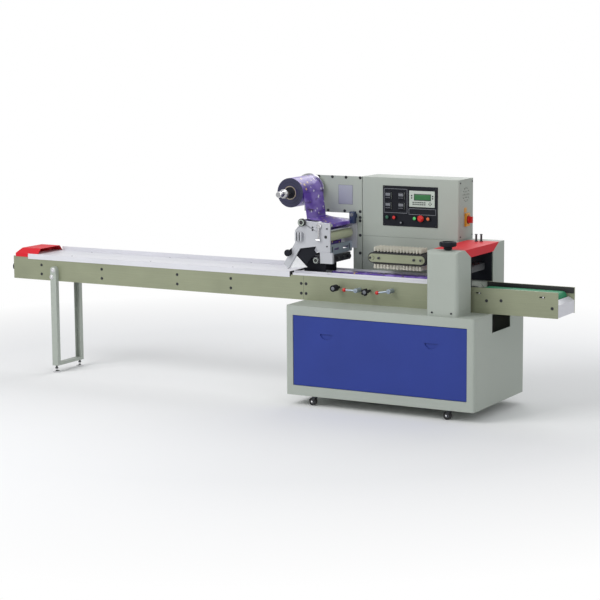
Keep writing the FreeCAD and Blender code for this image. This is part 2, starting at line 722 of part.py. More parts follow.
def reel_plate():
    """Cream plate beside the tower: wide above, a strip below, folded back against the tower."""
    end = TOWER_START_X
    strip = end - REEL_STRIP_WIDTH
    outline = [(REEL_PLATE_START_X, REEL_PLATE_BOTTOM), (strip, REEL_PLATE_BOTTOM), (strip, BED_BASE),
               (end, BED_BASE), (end, TOWER_TOP), (REEL_PLATE_START_X, TOWER_TOP)]
    plate = prism_y(outline, WALL_Y, WALL_Y + REEL_PLATE)
    fold = box(end - REEL_PLATE, end, WALL_Y, WALL_Y + REEL_PLATE_RETURN, BED_BASE, TOWER_TOP)
    boss = rod(REEL_X, REEL_Z, BOSS_RADIUS, WALL_Y - BOSS_LENGTH, WALL_Y)
    bore = rod(REEL_X, REEL_Z, SHAFT_RADIUS + FIT, WALL_Y - BOSS_LENGTH, WALL_Y + REEL_PLATE)
    return join([plate, fold, boss]).cut(bore)


# ---------------------------------------------------------------- tower and controls
def tower_housing():
    """Closed housing with a seam at mid height and a round field of vent holes."""
    tower = rounded_box(TOWER_START_X, TOWER_END_X, WALL_Y, WALL_Y + TOWER_DEPTH,
                        BED_BASE, TOWER_TOP, TOWER_CORNER)
    band = box(TOWER_START_X, TOWER_END_X, WALL_Y, WALL_Y + TOWER_DEPTH, TOWER_SEAM_Z, TOWER_SEAM_Z + SEAM)
    core = box(TOWER_START_X + SEAM_DEPTH, TOWER_END_X - SEAM_DEPTH, WALL_Y + SEAM_DEPTH,
               WALL_Y + TOWER_DEPTH - SEAM_DEPTH, TOWER_SEAM_Z, TOWER_SEAM_Z + SEAM)
    holes = [bar(VENT_Y, VENT_Z, VENT_HOLE_RADIUS, TOWER_END_X - VENT_DEPTH, TOWER_END_X)]
    for ring in range(1, VENT_RINGS + 1):
        for n in range(6 * ring):
            angle = math.pi * n / (3 * ring)
            y = VENT_Y + ring * VENT_PITCH * math.cos(angle)
            z = VENT_Z + ring * VENT_PITCH * math.sin(angle)
            holes.append(bar(y, z, VENT_HOLE_RADIUS, TOWER_END_X - VENT_DEPTH, TOWER_END_X))
    holes.append(rod(STOP_X, STOP_Z, STOP_STEM_RADIUS + FIT, WALL_Y, WALL_Y + STOP_TRAVEL))
    return tower.cut(Part.makeCompound([band.cut(core)] + holes))


def control_fascia():
    x1 = FASCIA_START_X + FASCIA_LENGTH
    plate = box(FASCIA_START_X, x1, WALL_Y - FASCIA, WALL_Y, FASCIA_BOTTOM, FASCIA_BOTTOM + FASCIA_HEIGHT)
    return plate.cut(rod(STOP_X, STOP_Z, STOP_STEM_RADIUS + FIT, WALL_Y - FASCIA, WALL_Y))


def temperature_controllers():
    face = WALL_Y - FASCIA
    half = CONTROLLER_SIZE / 2
    return [box(x - half, x + half, face - INSTRUMENT, face, z - half, z + half)
            for x in CONTROLLER_XS for z in CONTROLLER_ZS]


def display_panel():
    face = WALL_Y - FASCIA
    return box(DISPLAY_START_X, DISPLAY_START_X + DISPLAY_LENGTH, face - INSTRUMENT / 2, face,
               DISPLAY_BOTTOM, DISPLAY_BOTTOM + DISPLAY_HEIGHT)


def push_buttons():
    face = WALL_Y - FASCIA
    buttons = []
    for x, z, radius in BUTTONS:
        bezel = rod(x, z, radius + SHEET, face - BUTTON_LENGTH / 2, face)
        buttons.append(join([bezel, rod(x, z, radius, face - BUTTON_LENGTH, face)]))
    return buttons


def emergency_stop():
    """Mushroom head whose stem slides through the fascia."""
    face = WALL_Y - FASCIA
    root = face - STOP_TRAVEL - SHEET
    stem = rod(STOP_X, STOP_Z, STOP_STEM_RADIUS, root, face + FASCIA / 2)
    head = rod(STOP_X, STOP_Z, STOP_HEAD_RADIUS, root - STOP_HEAD / 2, root)
    crown = Part.makeCone(STOP_HEAD_RADIUS * 0.6, STOP_HEAD_RADIUS, STOP_HEAD / 2,
                          V(STOP_X, root - STOP_HEAD, STOP_Z), V(0, 1, 0))
    return join([stem, head, crown])


def main_switch_base():
    base = box(TOWER_END_X, TOWER_END_X + SWITCH_BASE, SWITCH_Y - SWITCH_WIDTH / 2, SWITCH_Y + SWITCH_WIDTH / 2,
               SWITCH_Z - SWITCH_HEIGHT / 2, SWITCH_Z + SWITCH_HEIGHT / 2)
    edges = [e for e in base.Edges if all(abs(v.X - TOWER_END_X - SWITCH_BASE) < FIT for v in e.Vertexes)]
    return base.makeFillet(SHEET, edges)


def main_switch_handle():
    x0 = TOWER_END_X + SWITCH_BASE
    hub = bar(SWITCH_Y, SWITCH_Z, SWITCH_HUB_RADIUS, x0, x0 + SWITCH_HUB)
    reach = SWITCH_HUB_RADIUS - SHEET
    grip = box(x0, x0 + SWITCH_HUB + SWITCH_GRIP, SWITCH_Y - SWITCH_GRIP_WIDTH / 2,
               SWITCH_Y + SWITCH_GRIP_WIDTH / 2, SWITCH_Z - reach, SWITCH_Z + reach)
    return join([hub, grip])


# ---------------------------------------------------------------- film bracket and former
def bracket_outline():
    """Front view of the bracket: a stepped plate with an arm that slopes down to its tip."""
    tip_x, tip_z = ARM_TIP
    half = ARM_WIDTH / 2
    shoulder = BRACKET_BOTTOM + ARM_WIDTH
    return [(ENTRY_X, BRACKET_TOP), (BRACKET_RIGHT, BRACKET_TOP - EXIT_RADIUS), (BRACKET_RIGHT, BRACKET_BOTTOM),
            (EXIT_X - SLOT_LENGTH, BRACKET_BOTTOM), (EXIT_X - 1.2 * SLOT_LENGTH, shoulder),
            (BRACKET_LEFT + ARM_WIDTH, shoulder - half), (tip_x + half, tip_z - half),
            (tip_x - half, tip_z + half / 2), (BRACKET_LEFT, shoulder + half),
            (BRACKET_LEFT, NIP_Z + NIP_RADIUS)]


def bracket_plate(y0, extend):
    """Bracket with its lug for the entry roller; extend carries it on to the wall strip."""
    plate = prism_y(bracket_outline(), y0, y0 + BRACKET)
    shapes = [plate, rod(ENTRY_X, ENTRY_Z, LUG_RADIUS, y0, y0 + BRACKET)]
    if extend:
        strip = TOWER_START_X - REEL_STRIP_WIDTH / 2
        shapes.append(box(BRACKET_RIGHT, strip, y0, y0 + BRACKET, BRACKET_BOTTOM, BRACKET_TOP - ARM_WIDTH))
    holes = [rod(ENTRY_X, ENTRY_Z, JOURNAL_RADIUS + FIT, y0, y0 + BRACKET),
             rod(NIP_X, NIP_Z, NIP_SHAFT_RADIUS + FIT, y0, y0 + BRACKET)]
    return join(shapes).cut(Part.makeCompound(holes))


def entry_roller():
    y0 = BRACKET_Y + BRACKET + END_PLAY
    y1 = REAR_BRACKET_Y - END_PLAY
    shaft = rod(ENTRY_X, ENTRY_Z, JOURNAL_RADIUS, BRACKET_Y - FIT, REAR_BRACKET_Y + BRACKET - FIT)
    cap = rod(ENTRY_X, ENTRY_Z, ENTRY_CAP_RADIUS, BRACKET_Y - ENTRY_CAP - FIT, BRACKET_Y - FIT)
    return join([rod(ENTRY_X, ENTRY_Z, ENTRY_RADIUS, y0, y1), shaft, cap])


def nip_roller():
    y0 = BRACKET_Y + BRACKET + END_PLAY
    y1 = REAR_BRACKET_Y - END_PLAY
    shaft = rod(NIP_X, NIP_Z, NIP_SHAFT_RADIUS, BRACKET_Y, REAR_BRACKET_Y + BRACKET - FIT)
    return join([rod(NIP_X, NIP_Z, NIP_RADIUS, y0, y1), shaft])


def film_bars():
    """Exit bar and stay bar that tie the two brackets together."""
    y0 = BRACKET_Y + BRACKET
    return [rod(EXIT_X, EXIT_Z, EXIT_RADIUS, y0, REAR_BRACKET_Y),
            rod(EXIT_X, EXIT_Z - STAY_DROP, STAY_RADIUS, y0, REAR_BRACKET_Y)]


def slotted_plate():
    y0 = BRACKET_Y + BRACKET
    plate = box(SLOT_PLATE_X, SLOT_PLATE_X + SLOT_PLATE, y0, REAR_BRACKET_Y,
                SLOT_PLATE_BOTTOM, SLOT_PLATE_BOTTOM + SLOT_PLATE_HEIGHT)
    z = SLOT_PLATE_BOTTOM + SLOT_PLATE_HEIGHT / 2
    slots = [box(SLOT_PLATE_X, SLOT_PLATE_X + SLOT_PLATE, y - SLOT_LENGTH / 2, y + SLOT_LENGTH / 2,
                 z - SLOT_HEIGHT / 2, z + SLOT_HEIGHT / 2) for y in (-SLOT_Y, SLOT_Y)]
    return plate.cut(Part.makeCompound(slots))


def film_run(x0, z0, x1, z1):
    """One straight run of film between two points."""
    length = math.hypot(x1 - x0, z1 - z0)
    run = box(0, length, -FILM_HALF_WIDTH, FILM_HALF_WIDTH, -FILM / 2, FILM / 2)
    run.rotate(V(0, 0, 0), V(0, 1, 0), -math.degrees(math.atan2(z1 - z0, x1 - x0)))
    run.translate(V(x0, 0, z0))
    return run


def film_web():
    """Film from the roll to the entry roller, round the exit bar and down to the former."""
    half = FILM_HALF_WIDTH
    over = FILM / 2 + FIT
    turn = EXIT_RADIUS + over
    nip_side = NIP_X - NIP_RADIUS - over - END_PLAY
    before = [(REEL_X + ROLL_RADIUS + FILM_ROLL_GAP, REEL_Z),
              (ENTRY_X + ENTRY_RADIUS / 2, ENTRY_Z + LUG_RADIUS), (EXIT_X, EXIT_Z + turn)]
    after = [(EXIT_X, EXIT_Z - turn), (nip_side, NIP_Z + NIP_RADIUS), (TUNNEL_END_X, TUNNEL_TOP + over)]
    shapes = []
    for bends in (before, after):
        shapes += [film_run(*bends[n], *bends[n + 1]) for n in range(2)]
        shapes.append(rod(*bends[1], FILM / 2, -half, half))
    wrap = rod(EXIT_X, EXIT_Z, turn + FILM / 2, -half, half).cut(rod(EXIT_X, EXIT_Z, turn - FILM / 2, -half, half))
    shapes.append(wrap.common(box(EXIT_X, EXIT_X + 2 * turn, -half, half, EXIT_Z - 2 * turn, EXIT_Z + 2 * turn)))
    return join(shapes)


def former_cheek():
    """Black side sheet of the former, seen from the front."""
    high = BRACKET_BOTTOM + 1.5 * ARM_WIDTH
    tip_x = ARM_TIP[0] + 1.5 * ARM_WIDTH
    outline = [(BRACKET_LEFT + ARM_WIDTH / 2, high), (TUNNEL_END_X - ARM_WIDTH / 2, high),
               (TUNNEL_END_X - ARM_WIDTH, high - 1.2 * ARM_WIDTH), (TUNNEL_END_X - ARM_WIDTH / 2, high - 2 * ARM_WIDTH),
               (TUNNEL_END_X - 1.6 * ARM_WIDTH, TUNNEL_TOP), (TUNNEL_END_X - 2.7 * ARM_WIDTH, DECK_TOP + 1.5 * ARM_WIDTH),
               (tip_x, TUNNEL_TOP + ARM_WIDTH / 2)]
    return outline


def film_former():
    """Inverted channel that the film closes round, with two flared wings out to the cheeks."""
    half = TUNNEL_HALF_WIDTH
    top = TUNNEL_TOP
    outer = box(TUNNEL_START_X, TUNNEL_END_X, -half, half, TABLE_TOP, top)
    inner = box(TUNNEL_START_X, TUNNEL_END_X, -half + TUNNEL_SHEET, half - TUNNEL_SHEET,
                TABLE_TOP, top - TUNNEL_SHEET)
    shapes = [outer.cut(inner)]
    reach = CHEEK_Y - CHEEK
    for side in (-1, 1):
        wing = [V(TUNNEL_START_X, side * half, top), V(TUNNEL_START_X, side * half, DECK_TOP + ARM_WIDTH),
                V(ARM_TIP[0], side * reach, DECK_TOP + ARM_WIDTH / 2)]
        face = Part.Face(Part.makePolygon(wing + wing[:1]))
        shapes.append(face.extrude(V(TUNNEL_SHEET, 0, 0)))
    shapes.append(prism_y(former_cheek(), -CHEEK_Y, -CHEEK_Y + CHEEK))
    shapes.append(prism_y(former_cheek(), REAR_BRACKET_Y - CHEEK, REAR_BRACKET_Y))
    yoke = box(TUNNEL_START_X + ARM_WIDTH, TUNNEL_START_X + 1.5 * ARM_WIDTH, -CHEEK_Y, REAR_BRACKET_Y,
               top - SHEET, top + 2 * SHEET)
    return join(shapes + [yoke])


def pull_wheel_block():
    """Block on the front bracket that carries the black wheel beside the former."""
    x0 = PULL_WHEEL_X + PULL_WHEEL_RADIUS + SHEET
    block = box(x0, SLOT_PLATE_X + ARM_WIDTH, WHEEL_BLOCK_Y + BRACKET, BRACKET_Y + BRACKET,
                PULL_WHEEL_Z - ARM_WIDTH / 2, BRACKET_BOTTOM)
    arm = box(PULL_WHEEL_X, x0, BRACKET_Y, BRACKET_Y + BRACKET / 2,
              PULL_WHEEL_Z - STAY_RADIUS, PULL_WHEEL_Z + STAY_RADIUS)
    wheel = rod(PULL_WHEEL_X, PULL_WHEEL_Z, PULL_WHEEL_RADIUS, WHEEL_BLOCK_Y, BRACKET_Y)
    return join([block, arm, wheel])


# ---------------------------------------------------------------- brush conveyor
def brush_frame():
    """Round-ended carrier inside the belt, two pulley hubs and the two arms from the tower wall."""
    half = BRUSH_HALF_WIDTH
    out = half + BRUSH_SIDE
    carrier = capsule(BRUSH_START_X, BRUSH_END_X, BRUSH_Z, BRUSH_RADIUS - BRUSH_BELT - FIT, -out, out)
    hubs = [rod(x, BRUSH_Z, BRUSH_HUB_RADIUS, -out - BRUSH_SIDE, -out) for x in (BRUSH_START_X, BRUSH_END_X)]
    arms = [rod(x, BRUSH_Z, BRUSH_ARM_RADIUS, out, WALL_Y)
            for x in (BRUSH_START_X + 2 * BRUSH_RADIUS, BRUSH_END_X - 2 * BRUSH_RADIUS)]
    return join([carrier] + hubs + arms)


def brush_belt():
    """Belt loop with rows of bristles standing out of its upper and lower runs."""
    half = BRUSH_HALF_WIDTH
    shapes = [belt_loop(BRUSH_START_X, BRUSH_END_X, BRUSH_Z, BRUSH_RADIUS, BRUSH_BELT, -half, half)]
    pitch = (BRUSH_END_X - BRUSH_START_X) / BRISTLE_ROWS
    seat = BRUSH_RADIUS - BRUSH_BELT / 2
    tip = BRUSH_RADIUS + BRISTLE_LENGTH
    for n in range(BRISTLE_ROWS):
        x = BRUSH_START_X + (n + 0.5) * pitch
        for low, high in ((seat, tip), (-tip, -seat)):
            shapes.append(box(x - BRISTLE_THICKNESS / 2, x + BRISTLE_THICKNESS / 2,
                              -half + SHEET, half - SHEET, BRUSH_Z + low, BRUSH_Z + high))
    return join(shapes)


# ---------------------------------------------------------------- knobs and levers
def spindle(x, z, reach):
    return rod(x, z, SPINDLE_RADIUS, -BED_HALF_WIDTH - reach, -BED_HALF_WIDTH + SPINDLE_SEAT)


def fluted_knob():
    """Cylinder knob with grip flutes."""
    y0 = -BED_HALF_WIDTH - KNOB_REACH
    grip = rod(KNOB_X, KNOB_Z, KNOB_RADIUS, y0, y0 + KNOB_GRIP)
    flutes = []
    for n in range(16):
        angle = math.pi * n / 8
        flutes.append(rod(KNOB_X + (KNOB_RADIUS + 1) * math.cos(angle), KNOB_Z + (KNOB_RADIUS + 1) * math.sin(angle),
                          2, y0, y0 + KNOB_GRIP))
    return join([grip.cut(Part.makeCompound(flutes)), spindle(KNOB_X, KNOB_Z, KNOB_REACH - 1)])


def star_knob():
    """Lobed knob on its spindle."""
    y0 = -BED_HALF_WIDTH - STAR_REACH
    shapes = [rod(STAR_X, STAR_Z, STAR_RADIUS, y0, y0 + STAR_GRIP)]
    for n in range(STAR_LOBES):
        angle = 2 * math.pi * n / STAR_LOBES
        shapes.append(rod(STAR_X + STAR_RADIUS * math.cos(angle), STAR_Z + STAR_RADIUS * math.sin(angle),
                          STAR_LOBE_RADIUS, y0, y0 + STAR_GRIP))
    return join(shapes + [spindle(STAR_X, STAR_Z, STAR_REACH - 1)])


def lever(x, z, tilt):
    """Clamp lever: boss on the side plate, with a turned rod that ends in a ball."""
    y = -BED_HALF_WIDTH - LEVER_REACH + LEVER_BOSS_RADIUS / 2
    neck = LEVER_LENGTH - math.sqrt(LEVER_BALL_RADIUS ** 2 - LEVER_ROD_RADIUS ** 2)
    crown = LEVER_BALL_RADIUS
    line = [V(0, 0, 0), V(0, LEVER_ROD_RADIUS, 0), V(-neck, LEVER_ROD_RADIUS, 0)]
    edges = [Part.LineSegment(line[n], line[n + 1]).toShape() for n in range(2)]
    tip = V(-LEVER_LENGTH - crown, 0, 0)
    edges.append(Part.Arc(line[2], V(-LEVER_LENGTH, crown, 0), tip).toShape())
    edges.append(Part.LineSegment(tip, line[0]).toShape())
    handle = Part.Face(Part.Wire(edges)).revolve(V(0, 0, 0), V(1, 0, 0), 360)
    handle.rotate(V(0, 0, 0), V(0, 1, 0), tilt)
    handle.translate(V(x, y, z))
    boss = rod(x, z, LEVER_BOSS_RADIUS, -BED_HALF_WIDTH - LEVER_REACH, -BED_HALF_WIDTH - FIT)
    return join([boss, handle, spindle(x, z, 1)])


# ---------------------------------------------------------------- end sealer
def sealer_housing():
    """Rear housing; the front one is its mirror. Round top and upright edges, sloped shoulder."""
    out = SEALER_OUTER_Y
    radius = SEALER_RADIUS
    x0, x1 = SEALER_START_X, SEALER_END_X
    points = [V(x0, SEALER_INNER_Y, BED_BASE), V(x0, out, BED_BASE), V(x0, out, SEALER_TOP - radius),
              V(x0, out - radius, SEALER_TOP), V(x0, COVER_TOP_Y, SEALER_TOP), V(x0, SEALER_INNER_Y, COVER_BOTTOM)]
    mid = V(x0, out - radius + radius * math.sin(math.pi / 4), SEALER_TOP - radius + radius * math.cos(math.pi / 4))
    edges = [Part.LineSegment(points[0], points[1]).toShape(), Part.LineSegment(points[1], points[2]).toShape(),
             Part.Arc(points[2], mid, points[3]).toShape(), Part.LineSegment(points[3], points[4]).toShape(),
             Part.LineSegment(points[4], points[5]).toShape(), Part.LineSegment(points[5], points[0]).toShape()]
    body = Part.Face(Part.Wire(edges)).extrude(V(x1 - x0, 0, 0))
    plan = rounded_box(x0, x1, 0, out, BED_BASE, SEALER_TOP, radius)
    body = body.common(plan)
    rings = [rod(JAW_X, z, BEARING_RADIUS, SEALER_INNER_Y - BEARING, SEALER_INNER_Y) for z in jaw_heights()]
    bores = [rod(JAW_X, z, JAW_SHAFT_RADIUS + FIT, SEALER_INNER_Y - BEARING, SEALER_INNER_Y) for z in jaw_heights()]
    return join([body] + rings).cut(Part.makeCompound(bores))


def sealer_front_housing():
    seat = post(WHEEL_X, WHEEL_Y, SPINDLE_RADIUS + FIT, SEALER_TOP - WHEEL_SEAT, SEALER_TOP)
    return mirror_y(sealer_housing()).cut(seat)


def jaw_heights():
    return (PRODUCT_Z - JAW_OFFSET, PRODUCT_Z + JAW_OFFSET)


def sealer_cover():
    """Cover that lies in the sloped shoulders of both housings, with two studs on top."""
    outline = [(-COVER_TOP_Y, SEALER_TOP), (-SEALER_INNER_Y, COVER_BOTTOM), (SEALER_INNER_Y, COVER_BOTTOM),
               (COVER_TOP_Y, SEALER_TOP)]
    studs = [post(x, y, COVER_STUD_RADIUS, SEALER_TOP, SEALER_TOP + COVER_STUD_HEIGHT) for x, y in COVER_STUDS]
    return join([prism_x(outline, SEALER_START_X, SEALER_END_X)] + studs)


def sealing_jaw(z, towards):
    """Shaft with one crimping jaw whose round face is cut into fine teeth along Y."""
    half = JAW_WIDTH / 2
    base = math.sqrt(JAW_RADIUS ** 2 - half ** 2)
    start = math.asin(half / JAW_RADIUS)
    points = [(0, -half), (base, -half)]
    for n in range(JAW_TEETH):
        for part, depth in ((0.25, 0.0), (0.75, JAW_TOOTH_DEPTH)):
            angle = -start + 2 * start * (n + part) / JAW_TEETH
            points.append(((JAW_RADIUS - depth) * math.cos(angle), (JAW_RADIUS - depth) * math.sin(angle)))
    points += [(base, half), (0, half)]
    outline = [(JAW_X + towards * px, z + pz) for px, pz in points]
    jaw = prism_y(outline, -JAW_HALF_LENGTH, JAW_HALF_LENGTH)
    hub = rod(JAW_X, z, JAW_HUB_RADIUS, -JAW_HALF_LENGTH, JAW_HALF_LENGTH)
    shaft = rod(JAW_X, z, JAW_SHAFT_RADIUS, -SEALER_INNER_Y + FIT, SEALER_INNER_Y - FIT)
    return join([jaw, hub, shaft])


def sealer_handwheel():
    """Three-spoke wheel with an eight-sided rim, on a stem that turns in the housing top."""
    z = SEALER_TOP + WHEEL_STANDOFF + WHEEL_HUB / 2
    middle = WHEEL_RADIUS - WHEEL_RIM_RADIUS
    corners = []
    for n in range(8):
        angle = math.pi * (n + 0.5) / 4
        corners.append(V(WHEEL_X + middle + WHEEL_RIM_RADIUS * math.cos(angle), WHEEL_Y,
                         z + WHEEL_RIM_RADIUS * math.sin(angle)))
    rim = Part.Face(Part.makePolygon(corners + corners[:1])).revolve(V(WHEEL_X, WHEEL_Y, z), V(0, 0, 1), 360)
    hub = post(WHEEL_X, WHEEL_Y, WHEEL_HUB_RADIUS, z - WHEEL_HUB / 2, z + WHEEL_HUB / 2)
    stem = post(WHEEL_X, WHEEL_Y, SPINDLE_RADIUS, SEALER_TOP - WHEEL_SEAT, z)
    spokes = []
    for n in range(WHEEL_SPOKES):
        spoke = box(WHEEL_X, WHEEL_X + middle, WHEEL_Y - WHEEL_SPOKE_WIDTH / 2, WHEEL_Y + WHEEL_SPOKE_WIDTH / 2,
                    z - WHEEL_SPOKE / 2, z + WHEEL_SPOKE / 2)
        spoke.rotate(V(WHEEL_X, WHEEL_Y, z), V(0, 0, 1), 360 * n / WHEEL_SPOKES)
        spokes.append(spoke)
    return join([rim, hub, stem] + spokes)


# ---------------------------------------------------------------- discharge conveyor
def discharge_plate():
    plate = box(DISCHARGE_START_X, DISCHARGE_END_X, BED_INNER, BED_HALF_WIDTH, BED_BASE, BED_TOP)
    half = SLOT_BOLT_LENGTH / 2 - SLOT_BOLT_HEIGHT / 2
    slots = [capsule(x - half, x + half, BED_BASE + SLOT_BOLT_RISE, SLOT_BOLT_HEIGHT / 2, BED_INNER, BED_HALF_WIDTH)
             for x in SLOT_BOLT_XS]
    return plate.cut(Part.makeCompound(slots))


def roller_xs():
    return (DISCHARGE_START_X + DISCHARGE_BELT_RADIUS, BELT_TIP_X - DISCHARGE_BELT_RADIUS)


def discharge_belt():
    x0, x1 = roller_xs()
    return belt_loop(x0, x1, BELT_AXIS_Z, DISCHARGE_BELT_RADIUS, DISCHARGE_BELT,
                     -DISCHARGE_BELT_HALF_WIDTH, DISCHARGE_BELT_HALF_WIDTH)


def discharge_rollers():
    radius = DISCHARGE_BELT_RADIUS - DISCHARGE_BELT - FIT
    half = DISCHARGE_BELT_HALF_WIDTH
    return [join([rod(x, BELT_AXIS_Z, radius, -half, half),
                  rod(x, BELT_AXIS_Z, ROLLER_SHAFT_RADIUS, -BED_INNER, BED_INNER)]) for x in roller_xs()]


def discharge_end_sheet():
    """Bent sheet that closes the end below the belt: a slope, then straight down."""
    x1 = DISCHARGE_END_X
    x0 = x1 - END_SHEET_RUN
    top = BED_BASE + END_SHEET_TOP
    knee = BED_BASE + END_SHEET_KNEE
    outline = [(x0, top), (x1, knee), (x1, BED_BASE + SHEET), (x1 - END_SHEET, BED_BASE + SHEET),
               (x1 - END_SHEET, knee - END_SHEET / 2), (x0, top - END_SHEET)]
    return prism_y(outline, -BED_INNER, BED_INNER)


os.makedirs("parts", exist_ok=True)

castors = castor_places()
save("cabinet_front", cabinet_front())
save("cabinet_back", cabinet_back())
save("cabinet_left_side", cabinet_side(-1))
save("cabinet_right_side", cabinet_side(1))
save("cabinet_floor", cabinet_floor())
save("cabinet_top", cabinet_top())
save("service_panel", service_panel())
for side in ("left", "right"):
    save("castor_fork_" + side, castor_fork(*castors[side]))
    save("castor_wheel_" + side, castor_wheel(*castors[side]))
save("castors_rear", *[make(*castors[side]) for side in ("rear_left", "rear_right")
                       for make in (castor_fork, castor_wheel)])

save("side_plates_front", mirror_y(side_plate()).cut(spindle_holes()), mirror_y(discharge_plate()))
save("side_plates_rear", side_plate(), discharge_plate())
save("bed_ties", *bed_ties(), chain_wheel(CHAIN_TAIL_X), chain_wheel(CHAIN_HEAD_X))
save("infeed_deck_front", mirror_y(deck_half(False)))
save("infeed_deck_rear", deck_half(True))
save("feed_chain", feed_chain())
save("tail_cover", tail_cover())
save("tail_knob", tail_knob())
save("stand_legs", stand_leg(front_leg_web(), 1), stand_leg(BED_INNER, -1))
save("stand_crossbar", stand_crossbar())
save("levelling_feet", *levelling_feet())
save("bed_table", bed_table())
save("film_tube", film_tube())

save("film_roll", film_roll())
save("reel_shaft", reel_shaft())
save("reel_plate", reel_plate())
save("film_bracket_front", bracket_plate(BRACKET_Y, False))
save("film_bracket_rear", bracket_plate(REAR_BRACKET_Y, True))
save("entry_roller", entry_roller())
save("nip_roller", nip_roller())
save("film_bars", *film_bars())
save("slotted_plate", slotted_plate())
save("film_web", film_web())
save("film_former", film_former())
save("pull_wheel_block", pull_wheel_block())

save("tower_housing", tower_housing())
save("control_fascia", control_fascia())
save("instruments", *temperature_controllers(), display_panel())
save("push_buttons", *push_buttons())
save("emergency_stop", emergency_stop())
save("main_switch_base", main_switch_base())
save("main_switch_handle", main_switch_handle())

save("brush_frame", brush_frame())
save("brush_belt", brush_belt())
save("adjusting_knob", fluted_knob())
save("star_knob", star_knob())
for name, x, z, tilt in zip(("lever_left", "lever_right"), LEVER_XS, LEVER_ZS, LEVER_TILTS):
    save(name, lever(x, z, tilt))

save("sealer_front_housing", sealer_front_housing())
save("sealer_rear_housing", sealer_housing())
save("sealer_cover", sealer_cover())
save("jaw_lower", sealing_jaw(jaw_heights()[0], 1))
save("jaw_upper", sealing_jaw(jaw_heights()[1], 1))
save("sealer_handwheel", sealer_handwheel())
save("discharge_belt", discharge_belt())
save("discharge_rollers", *discharge_rollers())
save("discharge_end_sheet", discharge_end_sheet())
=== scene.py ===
"""Horizontal flow wrapper: finishes, fasteners, brushes, controls and a plain studio."""

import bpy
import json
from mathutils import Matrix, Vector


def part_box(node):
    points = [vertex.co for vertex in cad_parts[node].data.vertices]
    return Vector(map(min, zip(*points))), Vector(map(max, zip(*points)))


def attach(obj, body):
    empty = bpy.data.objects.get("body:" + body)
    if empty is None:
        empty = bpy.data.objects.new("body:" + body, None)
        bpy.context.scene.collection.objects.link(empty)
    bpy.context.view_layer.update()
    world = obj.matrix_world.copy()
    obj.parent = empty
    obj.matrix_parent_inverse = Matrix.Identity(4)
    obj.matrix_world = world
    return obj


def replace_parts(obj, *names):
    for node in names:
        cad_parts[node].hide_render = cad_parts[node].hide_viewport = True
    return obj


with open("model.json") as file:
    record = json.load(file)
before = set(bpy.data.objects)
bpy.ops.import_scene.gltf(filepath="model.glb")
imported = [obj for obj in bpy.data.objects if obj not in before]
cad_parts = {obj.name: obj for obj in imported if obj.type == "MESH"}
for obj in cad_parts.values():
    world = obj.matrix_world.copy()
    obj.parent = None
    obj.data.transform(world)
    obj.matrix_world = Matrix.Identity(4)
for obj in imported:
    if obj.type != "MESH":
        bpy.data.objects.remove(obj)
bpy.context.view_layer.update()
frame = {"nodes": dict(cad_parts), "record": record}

import json
import math
import random

import bmesh
import bpy
from mathutils import Matrix, Vector

bl_info = {
    "name": "Flow wrapper",
    "version": (1, 0, 0),
    "blender": (4, 5, 0),
    "location": "View3D > Sidebar > Flow wrapper",
    "description": "Dresses the flow wrapper with its finishes and small parts",
    "category": "Object",
}

MM = 0.001
CABINET_LOW, CABINET_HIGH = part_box("cabinet_top")
MID_X = (CABINET_LOW.x + CABINET_HIGH.x) / 2
TOWER_LOW, TOWER_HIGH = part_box("tower_housing")
PLATE_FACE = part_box("side_plates_front")[0].y
PLATE_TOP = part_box("side_plates_front")[1].z
DECK_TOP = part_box("infeed_deck_front")[1].z
FASCIA_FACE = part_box("control_fascia")[0].y
PANEL_FACE = FASCIA_FACE / MM - 3.5  # front of the display panel, in millimetres
WALL_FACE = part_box("reel_plate")[0].y + 8 * MM
BRACKET_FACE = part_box("film_bracket_front")[0].y
BRUSH_RADIUS = 0.032
BELT_RADIUS = 0.026
BELT_THICKNESS = 0.004
BELT_TOP = PLATE_TOP - 0.024
BELT_SETBACK = 0.045  # from the end of the construction's belt to the end of the visible one
WASHER_THICKNESS = 0.0015
WELD_REACH = 0.00001
SHARP_ANGLE = math.radians(40)
LAMP_SIZE = 4.0
CAMERA_SPOT = (4989, -10143, 2324)
BACK = Vector((0, 1, 0))
FRONT = Vector((0, -1, 0))
UP = Vector((0, 0, 1))
RIGHT = Vector((1, 0, 0))
FINISHES = {}


# ---------------------------------------------------------------- sizes and colours
class FlowWrapperSizes(bpy.types.PropertyGroup):
    """Sizes that a user can change"""
    screw_radius: bpy.props.FloatProperty(
        name="Screw radius", description="Radius of the screw heads", default=0.0062, unit="LENGTH")
    screw_height: bpy.props.FloatProperty(
        name="Screw height", description="Height of the screw heads", default=0.005, unit="LENGTH")
    edge_radius: bpy.props.FloatProperty(
        name="Edge radius", description="Rounding of sheet and housing edges", default=0.0012, unit="LENGTH")
    bristle_radius: bpy.props.FloatProperty(
        name="Bristle radius", description="Radius of one bristle at its root", default=0.0009, unit="LENGTH")
    bristles_per_tuft: bpy.props.IntProperty(
        name="Bristles per tuft", description="Number of bristles in one tuft", default=20)
    lens: bpy.props.FloatProperty(
        name="Lens", description="Focal length of the studio camera in millimetres", default=113.7)


